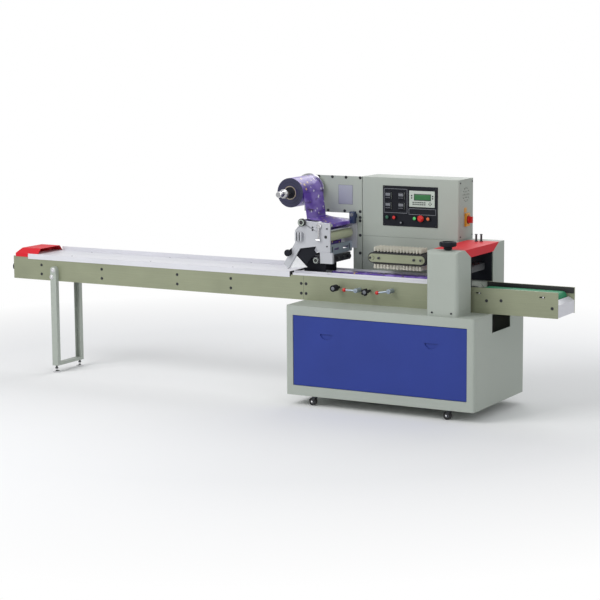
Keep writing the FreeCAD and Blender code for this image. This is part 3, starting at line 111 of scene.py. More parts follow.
class FlowWrapperColours(bpy.types.PropertyGroup):
    """Colours that a user can change"""
    cream: bpy.props.FloatVectorProperty(
        name="Housing", description="Powder coat of the housings", subtype="COLOR",
        default=(0.395, 0.430, 0.385))
    blue: bpy.props.FloatVectorProperty(
        name="Panel", description="Powder coat of the front panel", subtype="COLOR",
        default=(0.026, 0.048, 0.26))
    red: bpy.props.FloatVectorProperty(
        name="Covers", description="Paint of the tail and sealer covers", subtype="COLOR",
        default=(0.66, 0.018, 0.030))
    steel: bpy.props.FloatVectorProperty(
        name="Side plates", description="Brushed steel of the bed", subtype="COLOR",
        default=(0.285, 0.305, 0.205))
    deck: bpy.props.FloatVectorProperty(
        name="Deck", description="White sheet of the deck", subtype="COLOR",
        default=(0.70, 0.70, 0.74))
    film: bpy.props.FloatVectorProperty(
        name="Film", description="Main colour of the printed film", subtype="COLOR",
        default=(0.10, 0.035, 0.36))
    belt: bpy.props.FloatVectorProperty(
        name="Belt", description="Discharge belt", subtype="COLOR",
        default=(0.02, 0.27, 0.12))


# ---------------------------------------------------------------- finishes
def new_material(name):
    """New material with its node tree and its main shader."""
    material = bpy.data.materials.new(name)
    material.use_nodes = True
    tree = material.node_tree
    return material, tree, tree.nodes["Principled BSDF"]


def scaled_noise(tree, stretch, detail=5.0):
    """Noise over the object's own coordinates, stretched along each axis."""
    place = tree.nodes.new("ShaderNodeTexCoord")
    mapping = tree.nodes.new("ShaderNodeMapping")
    mapping.inputs["Scale"].default_value = stretch
    noise = tree.nodes.new("ShaderNodeTexNoise")
    noise.inputs["Scale"].default_value = 1.0
    noise.inputs["Detail"].default_value = detail
    tree.links.new(place.outputs["Object"], mapping.inputs["Vector"])
    tree.links.new(mapping.outputs["Vector"], noise.inputs["Vector"])
    return noise.outputs["Fac"]


def colour_mix(tree, factor, first, second):
    """Blend of two colours; each may be a tuple or a socket."""
    mix = tree.nodes.new("ShaderNodeMix")
    mix.data_type = "RGBA"
    tree.links.new(factor, mix.inputs[0])
    for socket, value in ((mix.inputs[6], first), (mix.inputs[7], second)):
        if isinstance(value, bpy.types.NodeSocket):
            tree.links.new(value, socket)
        else:
            socket.default_value = (*value, 1.0)
    return mix.outputs[2]


def calculate(tree, operation, first, second=0.0):
    """One sum on sockets or numbers."""
    node = tree.nodes.new("ShaderNodeMath")
    node.operation = operation
    for socket, value in zip(node.inputs, (first, second)):
        if isinstance(value, bpy.types.NodeSocket):
            tree.links.new(value, socket)
        else:
            socket.default_value = value
    return node.outputs[0]


def steps(tree, value, low, high, start=0.0, end=1.0):
    """Carries the range low to high over to start to end."""
    ramp = tree.nodes.new("ShaderNodeMapRange")
    tree.links.new(value, ramp.inputs["Value"])
    for socket, number in zip(("From Min", "From Max", "To Min", "To Max"), (low, high, start, end)):
        ramp.inputs[socket].default_value = number
    return ramp.outputs["Result"]


def relief(tree, shader, height, strength, distance=0.0004):
    """Fine surface relief from a height."""
    bump = tree.nodes.new("ShaderNodeBump")
    bump.inputs["Strength"].default_value = strength
    bump.inputs["Distance"].default_value = distance
    tree.links.new(height, bump.inputs["Height"])
    tree.links.new(bump.outputs["Normal"], shader.inputs["Normal"])


def grain_finish(name, colour, roughness, metallic=0.0, stretch=(500, 500, 500), tone=0.05,
                 spread=0.05, strength=0.08, specular=0.5):
    """Solid finish with fine grain, slow clouding of tone and uneven gloss."""
    material, tree, shader = new_material(name)
    fine = scaled_noise(tree, stretch)
    slow = scaled_noise(tree, (3.5, 3.5, 3.5), 3.0)
    clouds = steps(tree, calculate(tree, "ADD", fine, slow), 0.7, 1.3)
    darker = tuple(c * (1 - tone) for c in colour)
    lighter = tuple(min(1.0, c * (1 + tone)) for c in colour)
    tree.links.new(colour_mix(tree, clouds, darker, lighter), shader.inputs["Base Color"])
    gloss = steps(tree, slow, 0.35, 0.65, roughness - spread, roughness + spread)
    tree.links.new(gloss, shader.inputs["Roughness"])
    shader.inputs["Metallic"].default_value = metallic
    shader.inputs["Specular IOR Level"].default_value = specular
    relief(tree, shader, fine, strength)
    FINISHES[name] = material


def lit_finish(name, colour, strength):
    """Backlit display or lamp face with a faint raster."""
    material, tree, shader = new_material(name)
    raster = scaled_noise(tree, (900, 900, 900), 1.0)
    tint = colour_mix(tree, raster, tuple(c * 0.8 for c in colour), colour)
    tree.links.new(tint, shader.inputs["Base Color"])
    tree.links.new(tint, shader.inputs["Emission Color"])
    shader.inputs["Emission Strength"].default_value = strength
    shader.inputs["Roughness"].default_value = 0.25
    FINISHES[name] = material


def film_print(tree, main):
    """Generic film print: bands of violet and lilac, pale and yellow dots, dark streaks."""
    place = tree.nodes.new("ShaderNodeTexCoord")
    dots = tree.nodes.new("ShaderNodeTexVoronoi")
    dots.inputs["Scale"].default_value = 26.0
    tree.links.new(place.outputs["Object"], dots.inputs["Vector"])
    waves = scaled_noise(tree, (9, 5, 9), 2.0)
    streaks = scaled_noise(tree, (30, 6, 30), 4.0)
    lilac = (0.27, 0.18, 0.58)
    ground = colour_mix(tree, steps(tree, waves, 0.48, 0.62), main, lilac)
    ground = colour_mix(tree, steps(tree, streaks, 0.58, 0.66), ground, (0.05, 0.02, 0.09))
    spot_colour = colour_mix(tree, steps(tree, waves, 0.45, 0.5), (0.80, 0.55, 0.10), (0.82, 0.80, 0.86))
    return colour_mix(tree, steps(tree, dots.outputs["Distance"], 0.16, 0.22), spot_colour, ground)


def printed_film(name, main):
    """Glossy taut film with its print and slight waves."""
    material, tree, shader = new_material(name)
    tree.links.new(film_print(tree, main), shader.inputs["Base Color"])
    shader.inputs["Roughness"].default_value = 0.34
    relief(tree, shader, scaled_noise(tree, (18, 7, 18), 2.0), 0.25, 0.002)
    FINISHES[name] = material


def distance_from_axis(tree, centre):
    """Distance of a point from the line along Y through centre."""
    place = tree.nodes.new("ShaderNodeTexCoord")
    apart = tree.nodes.new("ShaderNodeSeparateXYZ")
    tree.links.new(place.outputs["Object"], apart.inputs[0])
    across = calculate(tree, "SUBTRACT", apart.outputs["X"], centre.x)
    above = calculate(tree, "SUBTRACT", apart.outputs["Z"], centre.z)
    squares = [calculate(tree, "MULTIPLY", side, side) for side in (across, above)]
    return calculate(tree, "SQRT", calculate(tree, "ADD", *squares))


def layered_ends(tree, radius, layers, core_radius):
    """Fine dark layers in uneven bands around a pale core."""
    band_scale, half_edge = 160.0, 0.0005
    bands = scaled_noise(tree, (1, 1, 1), 1.0)
    joined = tree.nodes.new("ShaderNodeCombineXYZ")
    tree.links.new(calculate(tree, "MULTIPLY", radius, band_scale), joined.inputs[0])
    tree.links.new(joined.outputs[0], bands.node.inputs["Vector"])
    uneven = calculate(tree, "ADD", layers, calculate(tree, "MULTIPLY", bands, 5.0))
    dark = colour_mix(tree, steps(tree, uneven, 0.5, 4.0), (0.006, 0.008, 0.024), (0.035, 0.035, 0.085))
    core = steps(tree, radius, core_radius - half_edge, core_radius + half_edge)
    return colour_mix(tree, core, (0.30, 0.25, 0.18), dark)


def wound_film(name, main, centre, core_radius):
    """Roll of film: print on the outside, layers and a core on the ends."""
    material, tree, shader = new_material(name)
    layer_rate = 5200.0
    radius = distance_from_axis(tree, centre)
    layers = calculate(tree, "SINE", calculate(tree, "MULTIPLY", radius, layer_rate))
    ends = layered_ends(tree, radius, layers, core_radius)
    normal = tree.nodes.new("ShaderNodeNewGeometry")
    facing = tree.nodes.new("ShaderNodeSeparateXYZ")
    tree.links.new(normal.outputs["Normal"], facing.inputs[0])
    flat = steps(tree, calculate(tree, "ABSOLUTE", facing.outputs["Y"]), 0.7, 0.8)
    tree.links.new(colour_mix(tree, flat, film_print(tree, main), ends), shader.inputs["Base Color"])
    shader.inputs["Roughness"].default_value = 0.28
    relief(tree, shader, layers, 0.05, 0.0002)
    FINISHES[name] = material


def woven_belt(name, colour):
    """Green belt with a fine woven face."""
    material, tree, shader = new_material(name)
    place = tree.nodes.new("ShaderNodeTexCoord")
    weave = []
    for axis in ("X", "Y"):
        wave = tree.nodes.new("ShaderNodeTexWave")
        wave.bands_direction = axis
        wave.inputs["Scale"].default_value = 130.0
        tree.links.new(place.outputs["Object"], wave.inputs["Vector"])
        weave.append(wave.outputs["Fac"])
    cloth = calculate(tree, "MULTIPLY", *weave)
    clouds = scaled_noise(tree, (12, 12, 12), 3.0)
    dark = tuple(c * 0.75 for c in colour)
    light = tuple(c * 1.12 for c in colour)
    tint = colour_mix(tree, steps(tree, calculate(tree, "ADD", cloth, clouds), 0.4, 1.3), dark, light)
    tree.links.new(tint, shader.inputs["Base Color"])
    shader.inputs["Roughness"].default_value = 0.62
    relief(tree, shader, cloth, 0.3, 0.0004)
    FINISHES[name] = material


def painted_finishes(colours):
    """Powder coat of the housings and the panel, and paint of the covers."""
    grain_finish("painted_cream", tuple(colours.cream), 0.48, stretch=(700, 700, 700), tone=0.035,
                 strength=0.12, specular=0.3)
    grain_finish("painted_blue", tuple(colours.blue), 0.50, stretch=(700, 700, 700), tone=0.08,
                 strength=0.12, specular=0.25)
    grain_finish("painted_red", tuple(colours.red), 0.50, tone=0.06, strength=0.04, specular=0.2)


def metal_finishes(colours):
    """Brushed, bright, cast and dark metal, and coated sheet."""
    grain_finish("brushed_steel", tuple(colours.steel), 0.42, 0.35, stretch=(6, 900, 900), tone=0.10,
                 strength=0.10)
    grain_finish("bright_steel", (0.70, 0.70, 0.71), 0.18, 1.0, stretch=(900, 40, 900), tone=0.06,
                 strength=0.05)
    grain_finish("aluminium", (0.34, 0.40, 0.47), 0.38, 0.5, stretch=(900, 900, 8), tone=0.07,
                 strength=0.08)
    grain_finish("white_sheet", tuple(colours.deck), 0.34, 0.0, stretch=(8, 600, 600), tone=0.035,
                 strength=0.05)
    grain_finish("bracket_sheet", (0.50, 0.51, 0.54), 0.40, 0.3, stretch=(300, 300, 300), tone=0.04,
                 strength=0.05)
    grain_finish("dark_steel", (0.045, 0.047, 0.052), 0.38, 0.6, tone=0.2, strength=0.12)
    grain_finish("polished_sheet", (0.88, 0.89, 0.90), 0.14, 0.9, stretch=(6, 300, 300), tone=0.03,
                 strength=0.02)


def plastic_finishes():
    """Plastics of the controls and plates."""
    grain_finish("black_plastic", (0.010, 0.011, 0.016), 0.50, tone=0.25, strength=0.15, specular=0.15)
    grain_finish("bare_label", (0.34, 0.35, 0.42), 0.45, tone=0.05, strength=0.05, specular=0.2)
    grain_finish("sensor_blue", (0.012, 0.025, 0.075), 0.35, tone=0.08, strength=0.05)
    grain_finish("red_plastic", (0.60, 0.016, 0.014), 0.30, tone=0.05, strength=0.03)
    grain_finish("green_plastic", (0.10, 0.55, 0.16), 0.25, tone=0.05, strength=0.03)
    grain_finish("dim_green_plastic", (0.02, 0.11, 0.06), 0.30, tone=0.10, strength=0.03)
    grain_finish("orange_plastic", (0.62, 0.12, 0.03), 0.30, tone=0.06, strength=0.04)
    grain_finish("yellow_plastic", (0.66, 0.30, 0.015), 0.35, tone=0.05, strength=0.05)
    grain_finish("pale_plastic", (0.50, 0.56, 0.50), 0.40, tone=0.03, strength=0.06)
    grain_finish("grey_plastic", (0.16, 0.17, 0.19), 0.42, tone=0.06, strength=0.06)


def soft_finishes():
    """Rubber of tyres and rollers, and the bristles."""
    grain_finish("rubber_black", (0.018, 0.018, 0.019), 0.65, tone=0.25, strength=0.25)
    grain_finish("rubber_beige", (0.46, 0.49, 0.33), 0.55, stretch=(90, 300, 90), tone=0.08, strength=0.12)
    grain_finish("bristle_white", (0.78, 0.76, 0.66), 0.60, stretch=(1500, 1500, 60), tone=0.08,
                 strength=0.1)


def film_and_belt_finishes(colours):
    """Printed film, the roll that it comes from, and the discharge belt."""
    film = tuple(colours.film)
    core_radius = 42 * MM
    printed_film("printed_film", film)
    low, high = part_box("film_roll")
    wound_film("wound_film", film, (low + high) / 2, core_radius)
    woven_belt("belt_green", tuple(colours.belt))


def make_finishes(colours):
    """Every finish of the machine."""
    painted_finishes(colours)
    metal_finishes(colours)
    plastic_finishes()
    soft_finishes()
    lit_finish("screen_green", (0.02, 0.15, 0.04), 0.10)
    lit_finish("digit_grey", (0.30, 0.31, 0.33), 0.05)
    film_and_belt_finishes(colours)


NODE_FINISH = {
    # The film former gets black plastic as painted shade: in that place the film's shaded underside shows.
    "film_roll": "wound_film", "main_switch_base": "yellow_plastic", "film_former": "black_plastic",
    "brush_frame": "brushed_steel", "push_buttons": "black_plastic", "levelling_feet": "bright_steel",
    "film_bracket_front": "bracket_sheet", "film_bracket_rear": "bracket_sheet",
    "pull_wheel_block": "bracket_sheet", "jaw_upper": "dark_steel", "jaw_lower": "dark_steel",
}

SHEETS = (
    "cabinet_front", "service_panel", "sealer_front_housing", "sealer_rear_housing", "sealer_cover",
    "tower_housing", "film_bracket_front", "film_bracket_rear", "reel_plate", "tail_cover",
    "main_switch_handle", "control_fascia", "instruments",
)


# ---------------------------------------------------------------- mesh helpers
def spot(x, y, z):
    """Point from distances in millimetres off the cabinet's middle and the floor."""
    return Vector((MID_X + x * MM, y * MM, z * MM))


def beside(node, y):
    """Point at depth y, level with the middle of a node."""
    low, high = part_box(node)
    centre = (low + high) / 2
    return Vector((centre.x, y, centre.z))


def disc(radius, height):
    """Profile of a plain disc."""
    return [(0, 0), (radius, 0), (radius, height), (0, height)]


def add_turned(bm, profile, at, axis, segments=32):
    """Turned form: (radius, height) pairs, from its foot to its top, about axis."""
    turn = Vector(axis).to_track_quat("Z", "Y").to_matrix()
    rings = []
    for radius, height in profile:
        count = 1 if radius == 0 else segments
        ring = []
        for n in range(count):
            angle = 2 * math.pi * n / segments
            point = Vector((radius * math.cos(angle), radius * math.sin(angle), height))
            ring.append(bm.verts.new(at + turn @ point))
        rings.append(ring)
    for low, high in zip(rings, rings[1:]):
        for n in range(segments):
            m = n + 1
            loop = [low[n % len(low)], low[m % len(low)], high[m % len(high)], high[n % len(high)]]
            corners = list(dict.fromkeys(loop))
            if len(corners) > 2:
                bm.faces.new(corners)


def add_block(bm, low, high, edge=0.0):
    """Block between two corners with rounded edges."""
    made = bmesh.ops.create_cube(bm, size=1.0)
    size = high - low
    middle = (low + high) / 2
    for vert in made["verts"]:
        vert.co = Vector(vert.co[n] * size[n] + middle[n] for n in range(3))
    if edge:
        edges = dict.fromkeys(e for v in made["verts"] for e in v.link_edges)
        bmesh.ops.bevel(bm, geom=list(edges), offset=edge, segments=2, profile=0.5, affect="EDGES")


def add_pin(bm, start, end, radius, segments=24, chamfer=0.0):
    """Round pin between two points, with chamfered ends."""
    length = (end - start).length
    edge = min(chamfer, radius / 2, length / 2)
    profile = [(0, 0), (radius - edge, 0), (radius, edge), (radius, length - edge),
               (radius - edge, length), (0, length)]
    add_turned(bm, profile, start, end - start, segments)


def add_screw(bm, at, axis, radius, height):
    """Socket head: chamfered cylinder with a recess."""
    profile = [(0, 0), (radius, 0), (radius, height * 0.8), (radius * 0.85, height), (radius * 0.5, height),
               (radius * 0.45, height * 0.4), (0, height * 0.4)]
    add_turned(bm, profile, at, axis, 12)


def add_washer(bm, at, axis, radius, height):
    """Flat washer with a softened rim."""
    profile = [(0, 0), (radius, 0), (radius, height * 0.7), (radius * 0.94, height), (0, height)]
    add_turned(bm, profile, at, axis, 24)


def add_plate(bm, outline, y0, y1):
    """Flat plate: outline in X and Z and thickness along Y, in millimetres as in spot."""
    front, back = ([bm.verts.new(spot(x, y, z)) for x, z in outline] for y in (y0, y1))
    bm.faces.new(front)
    bm.faces.new(list(reversed(back)))
    for n in range(len(outline)):
        m = (n + 1) % len(outline)
        bm.faces.new([front[n], back[n], back[m], front[m]])


def add_belt_loop(bm, wheels, z, radius, thick, y0, y1):
    """Flat belt around two wheels of one size, given by the X of both centres and their height."""
    x0, x1 = wheels
    half_turn = [math.pi * (n / 16 - 0.5) for n in range(17)]
    loops = []
    for r in (radius, radius - thick):
        outline = [(x1 + r * math.cos(a), z + r * math.sin(a)) for a in half_turn]
        outline += [(x0 - r * math.cos(a), z - r * math.sin(a)) for a in half_turn]
        loops += [[bm.verts.new((x, y, height)) for x, height in outline] for y in (y0, y1)]
    front, back, inner_front, inner_back = loops
    for n in range(len(front)):
        m = (n + 1) % len(front)
        bm.faces.new([front[n], front[m], back[m], back[n]])
        bm.faces.new([inner_front[m], inner_front[n], inner_back[n], inner_back[m]])
        bm.faces.new([front[m], front[n], inner_front[n], inner_front[m]])
        bm.faces.new([back[n], back[m], inner_back[m], inner_back[n]])


def piece(name, bm, finish, body="root", smooth=35):
    """Turns a mesh into a named piece that rides on its body."""
    bmesh.ops.recalc_face_normals(bm, faces=bm.faces)
    mesh = bpy.data.meshes.new(name)
    bm.to_mesh(mesh)
    bm.free()
    mesh.polygons.foreach_set("use_smooth", [True] * len(mesh.polygons))
    mesh.set_sharp_from_angle(angle=math.radians(smooth))
    mesh.materials.append(FINISHES[finish])
    made = bpy.data.objects.new(name, mesh)
    bpy.context.scene.collection.objects.link(made)
    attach(made, body)
    return made


def turned(name, profile, at, axis, finish, body="root", segments=32):
    """Piece of one turned form."""
    bm = bmesh.new()
    add_turned(bm, profile, at, axis, segments)
    return piece(name, bm, finish, body)


def block(name, low, high, finish, edge):
    """Piece of one block, fixed to the body of the machine."""
    bm = bmesh.new()
    add_block(bm, low, high, edge)
    return piece(name, bm, finish)


def screws(name, places, axis, sizes, body="root", scale=1.0, washer=False, finish="dark_steel"):
    """Piece of like screws, one at each place."""
    bm = bmesh.new()
    for at in places:
        if washer:
            add_washer(bm, at, axis, sizes.screw_radius * 1.5 * scale, WASHER_THICKNESS)
        add_screw(bm, at, axis, sizes.screw_radius * scale, sizes.screw_height * scale)
    return piece(name, bm, finish, body)


# ---------------------------------------------------------------- finishes of the construction
def round_edges(node, radius):
    """Joins the faces of a sheet and rounds its sharp edges."""
    weld = node.modifiers.new("joined", "WELD")
    weld.merge_threshold = WELD_REACH
    edge = node.modifiers.new("edge", "BEVEL")
    edge.width = radius
    edge.segments = 2
    edge.limit_method = "ANGLE"
    edge.angle_limit = SHARP_ANGLE
    edge.use_clamp_overlap = True
    flat = node.modifiers.new("flat_faces", "WEIGHTED_NORMAL")
    flat.keep_sharp = True


class FLOWWRAPPER_OT_finishes(bpy.types.Operator):
    """Makes every finish and dresses the construction with it"""
    bl_idname = "flow_wrapper.finishes"
    bl_label = "Finishes"

    def execute(self, context):
        make_finishes(context.scene.flow_wrapper_colours)
        slots = {part["node"]: part["material_slot"] for part in frame["record"]["subparts"]}
        for name, node in frame["nodes"].items():
            node.data.materials.clear()
            node.data.materials.append(FINISHES[NODE_FINISH.get(name, slots[name])])
            if name in SHEETS:
                round_edges(node, context.scene.flow_wrapper_sizes.edge_radius)
        return {"FINISHED"}


# ---------------------------------------------------------------- bed and stand
def bed_screws(sizes):
    """Two rows of screws in each side plate and three screws at its outfeed end."""
    places = [(x, z) for x in (-2615, -2130, -1546, -1147, -642, -608) for z in (650, 710)]
    places += [(592, 686), (683, 692), (999, 667)]
    face = PLATE_FACE / MM
    for name, y, axis in (("bed_screws_front", face, FRONT), ("bed_screws_rear", -face, BACK)):
        screws(name, [spot(x, y, z) for x, z in places], axis, sizes, washer=True)


def bed_joints():
    """Line where the two lengths of each side plate meet."""
    face = PLATE_FACE / MM
    joint, half_width, half_depth = -625, 0.6, 0.25
    for name, y in (("bed_joint_front", face), ("bed_joint_rear", -face)):
        low = spot(joint - half_width, y - half_depth, 611)
        high = spot(joint + half_width, y + half_depth, 759)
        block(name, low, high, "dark_steel", 0.0)


def slot_bolts(sizes):
    """Bright bolts in the slots of the outfeed side plate."""
    places = [spot(x, PLATE_FACE / MM, 728) for x in (547, 944)]
    screws("slot_bolts", places, FRONT, sizes, scale=0.8, finish="bright_steel")


def stand_bolts(sizes, leg):
    """Two large bolts that hold the front leg to the side plate."""
    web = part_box("stand_legs")[0].y / MM
    places = [spot(leg, web, 685), spot(leg - 13, web, 638)]
    screws("stand_bolts", places, FRONT, sizes, scale=1.6, washer=True, finish="bright_steel")


def foot_nuts(leg):
    """Lock nut and thread of both levelling feet."""
    thread = [(0.0061, 0), (0.0068, 0.0008), (0.0061, 0.0016)]
    thread_foot, thread_pitch, turns = 35, 1.7, 7
    bm = bmesh.new()
    for y in (-148.5, 109.5):
        add_turned(bm, disc(0.0105, 0.008), spot(leg, y, 26), UP, 6)
        for n in range(turns):
            add_turned(bm, thread, spot(leg, y, thread_foot + thread_pitch * n), UP, 20)
    piece("foot_nuts", bm, "dark_steel")


class FLOWWRAPPER_OT_bed(bpy.types.Operator):
    """Screws and joint line of the long side plates, with the stand's bolts"""
    bl_idname = "flow_wrapper.bed"
    bl_label = "Bed screws"

    def execute(self, context):
        sizes = context.scene.flow_wrapper_sizes
        low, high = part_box("stand_legs")
        leg = ((low.x + high.x) / 2 - MID_X) / MM
        bed_screws(sizes)
        bed_joints()
        slot_bolts(sizes)
        stand_bolts(sizes, leg)
        foot_nuts(leg)
        return {"FINISHED"}


# ---------------------------------------------------------------- infeed
def chain_links():
    """Side links and pins along the top of the feed chain."""
    low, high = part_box("feed_chain")
    pitch, link_length, link_y, half_link, pin_reach = 0.0254, 0.021, 0.0045, 0.0012, 0.006
    start, end = low.x + 0.05, high.x - 0.05
    bm = bmesh.new()
    for n in range(int((end - start) / pitch)):
        x = start + n * pitch
        for y in (-link_y, link_y):
            add_block(bm, Vector((x, y - half_link, high.z - 0.001)),
                      Vector((x + link_length, y + half_link, high.z + 0.006)), 0.0008)
        pin = Vector((x + 0.004, 0, high.z + 0.002))
        add_pin(bm, pin + FRONT * pin_reach, pin + BACK * pin_reach, 0.003, 8)
    piece("chain_links", bm, "dark_steel")


def deck_screws():
    """Countersunk heads along both edges of the deck."""
    head = [(0, 0), (0.0045, 0), (0.003, 0.0012), (0, 0.0012)]
    bm = bmesh.new()
    for x in (-1144, -1760, -2380):
        for y in (-112, 112):
            add_turned(bm, head, spot(x, y, DECK_TOP / MM), UP, 16)
    piece("deck_screws", bm, "dark_steel")


def deck_end_strips():
    """Rubber strip on the outfeed end of each half of the deck."""
    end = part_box("infeed_deck_front")[1].x
    bm = bmesh.new()
    for y0, y1 in ((-0.1355, -0.004), (0.004, 0.1355)):
        low = Vector((end, y0, DECK_TOP - 0.028))
        add_block(bm, low, Vector((end + 0.007, y1, DECK_TOP + 0.0005)), 0.001)
    piece("deck_end_strips", bm, "rubber_black")


def tail_plate_screws(sizes):
    """Four screws in the end of the bed."""
    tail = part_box("side_plates_front")[0].x
    places = [Vector((tail, y, z)) for y in (-0.11, 0.11) for z in (0.66, 0.74)]
    screws("tail_plate_screws", places, -RIGHT, sizes, scale=0.9)


class FLOWWRAPPER_OT_infeed(bpy.types.Operator):
    """Chain links in the slot, deck screws and end strips of the infeed"""
    bl_idname = "flow_wrapper.infeed"
    bl_label = "Infeed details"

    def execute(self, context):
        chain_links()
        deck_screws()
        deck_end_strips()
        tail_plate_screws(context.scene.flow_wrapper_sizes)
        return {"FINISHED"}


# ---------------------------------------------------------------- castors
def castor_hub(side):
    """Ring around the axle on both faces of a castor's wheel."""
    node = "castor_wheel_" + side
    low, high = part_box(node)
    ring = [(0.0055, -0.0022), (0.0125, -0.0022), (0.0125, -0.0010), (0.0055, -0.0004)]
    bm = bmesh.new()
    for y, axis in ((low.y, FRONT), (high.y, BACK)):
        add_turned(bm, ring, beside(node, y), axis)
    piece("castor_hub_" + side, bm, "grey_plastic", "wheel_" + side)


def castor_nuts(side):
    """Axle nuts on both cheeks of a castor's fork."""
    low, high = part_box("castor_fork_" + side)
    cheek = 0.0050
    nut = [(0, 0), (0.0062, 0), (0.0062, 0.0035), (0.0045, 0.0045), (0, 0.0045)]
    bm = bmesh.new()
    for y, axis in ((low.y + cheek, FRONT), (high.y - cheek, BACK)):
        add_turned(bm, nut, beside("castor_wheel_" + side, y), axis, 6)
    piece("castor_nuts_" + side, bm, "bright_steel", "swivel_" + side)


class FLOWWRAPPER_OT_castors(bpy.types.Operator):
    """Hub rings and axle nuts of the front castors"""
    bl_idname = "flow_wrapper.castors"
    bl_label = "Castors"

    def execute(self, context):
        for side in ("left", "right"):
            castor_hub(side)
            castor_nuts(side)
        return {"FINISHED"}


# ---------------------------------------------------------------- film reel
def reel_plate_screws(sizes):
    """Screws along the top and bottom of the reel plate's arm and down its post."""
    places = [(x, 1345) for x in (-766, -670, -575, -480, -382)]
    places += [(x, 1137) for x in (-606, -490, -382)]
    places += [(-382, z) for z in (1100, 1080, 990, 880, 770)]
    places = [spot(x, WALL_FACE / MM, z) for x, z in places]
    screws("reel_plate_screws", places, FRONT, sizes, washer=True)


def bare_plate():
    """Blank plate and its edge on the reel plate."""
    face = WALL_FACE / MM
    block("bare_plate_edge", spot(-533, face - 0.6, 1178), spot(-433, face, 1298), "grey_plastic", 0.0002)
    block("bare_plate", spot(-531, face - 1.2, 1180), spot(-435, face, 1296), "bare_label", 0.0004)


def reel_collar():
    """Bright collar on the shaft in front of the roll."""
    collar = [(0.0152, 0), (0.026, 0), (0.028, 0.003), (0.028, 0.019), (0.026, 0.022), (0.0152, 0.022)]
    at = beside("reel_shaft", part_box("reel_shaft")[0].y + 0.060)
    turned("reel_collar", collar, at, BACK, "bright_steel", "reel", 48)


def core_chuck_face():
    """Black face of the chuck in the roll's core."""
    chuck = [(0.0155, 0), (0.033, 0), (0.0355, 0.002), (0.0355, 0.006), (0.0155, 0.006)]
    at = beside("reel_shaft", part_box("film_roll")[0].y - 0.003)
    turned("core_chuck_face", chuck, at, BACK, "black_plastic", "reel", 48)


def flange_screws(sizes):
    """Circle of six flat screws on the back of the flange."""
    circle = 0.072
    centre = beside("reel_shaft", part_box("film_roll")[1].y + 0.0112)
    bm = bmesh.new()
    for n in range(6):
        angle = math.pi * n / 3
        at = centre + circle * Vector((math.cos(angle), 0, math.sin(angle)))
        add_screw(bm, at, BACK, sizes.screw_radius * 0.8, sizes.screw_height * 0.7)
    piece("flange_screws", bm, "dark_steel", "reel")


class FLOWWRAPPER_OT_reel(bpy.types.Operator):
    """Bolts, bare plate and core trim of the film reel"""
    bl_idname = "flow_wrapper.reel"
    bl_label = "Film reel"

    def execute(self, context):
        sizes = context.scene.flow_wrapper_sizes
        reel_plate_screws(sizes)
        bare_plate()
        reel_collar()
        core_chuck_face()
        flange_screws(sizes)
        return {"FINISHED"}


# ---------------------------------------------------------------- film path
def entry_roller_trim():
    """Pale ring and black cap on the front end of the entry roller."""
    at = beside("entry_roller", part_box("entry_roller")[0].y)
    ring = [(0.0135, -0.001), (0.0135, 0.0022), (0.0185, 0.0022), (0.0185, -0.001)]
    turned("entry_roller_ring", ring, at, FRONT, "pale_plastic", "entry_roll", 48)
    tyre = [(0.0185, -0.001), (0.0185, 0.0016), (0.0215, 0.0016), (0.0233, 0.0004), (0.0233, -0.0178),
            (0.0185, -0.0178)]
    cap = [(0, 0), (0.0132, 0), (0.0132, 0.0012), (0, 0.0018)]
    bm = bmesh.new()
    add_turned(bm, tyre, at, FRONT, 48)
    add_turned(bm, cap, at, FRONT, 48)
    piece("entry_roller_cap", bm, "rubber_black", "entry_roll")


def bracket_screws(sizes):
    """Screws in the front bracket."""
    places = ((-446, 1058), (-446, 950), (-545, 1062), (-545, 1046))
    places = [spot(x, BRACKET_FACE / MM, z) for x, z in places]
    screws("bracket_screws", places, FRONT, sizes, scale=0.8)


def adjuster():
    """Clamp block on the front bracket with three ribs."""
    face = BRACKET_FACE / MM
    block("adjuster_block", spot(-655, face - 16, 979), spot(-614, face, 1027), "dark_steel", 0.001)
    first_rib, rib_pitch, rib_width = -658, 17.5, 10
    bm = bmesh.new()
    for n in range(3):
        x = first_rib + n * rib_pitch
        add_block(bm, spot(x, face - 22, 976), spot(x + rib_width, face, 1030), 0.002)
    piece("adjuster_ribs", bm, "bracket_sheet")


def thumb_lever():
    """Lever that hangs from a hub on the front bracket, with a cross grip."""
    face = BRACKET_FACE / MM
    hub = [(0, 0), (0.014, 0), (0.016, 0.002), (0.016, 0.009), (0.013, 0.012), (0, 0.012)]
    bm = bmesh.new()
    add_turned(bm, hub, spot(-499, face, 1071), FRONT)
    add_pin(bm, spot(-499, face - 9, 1071), spot(-500, face - 14, 990), 0.005, 16)
    add_pin(bm, spot(-515, face - 14, 988), spot(-485, face - 14, 988), 0.006, 16, 0.001)
    piece("thumb_lever", bm, "bright_steel")


def tension_knob():
    """Knob on a stem, and the lug that carries it."""
    face = BRACKET_FACE / MM
    at = spot(-708, face, 900)
    grip = [(0, 0.012), (0.019, 0.012), (0.021, 0.015), (0.021, 0.028), (0.018, 0.031), (0, 0.031)]
    bm = bmesh.new()
    add_turned(bm, disc(0.009, 0.02), at, FRONT, 24)
    add_turned(bm, grip, at, FRONT)
    add_plate(bm, [(-690, 890), (-716, 890), (-716, 912), (-690, 930)], face, face + 8)
    piece("tension_knob", bm, "black_plastic")


def folding_sheets():
    """Polished three-cornered sheet on each side of the former."""
    outline = [(-728, 803), (-588, 815), (-664, 885)]
    for name, y in (("folding_sheet_front", -149.5), ("folding_sheet_rear", 134)):
        bm = bmesh.new()
        add_plate(bm, outline, y - 1, y + 1)
        piece(name, bm, "polished_sheet")


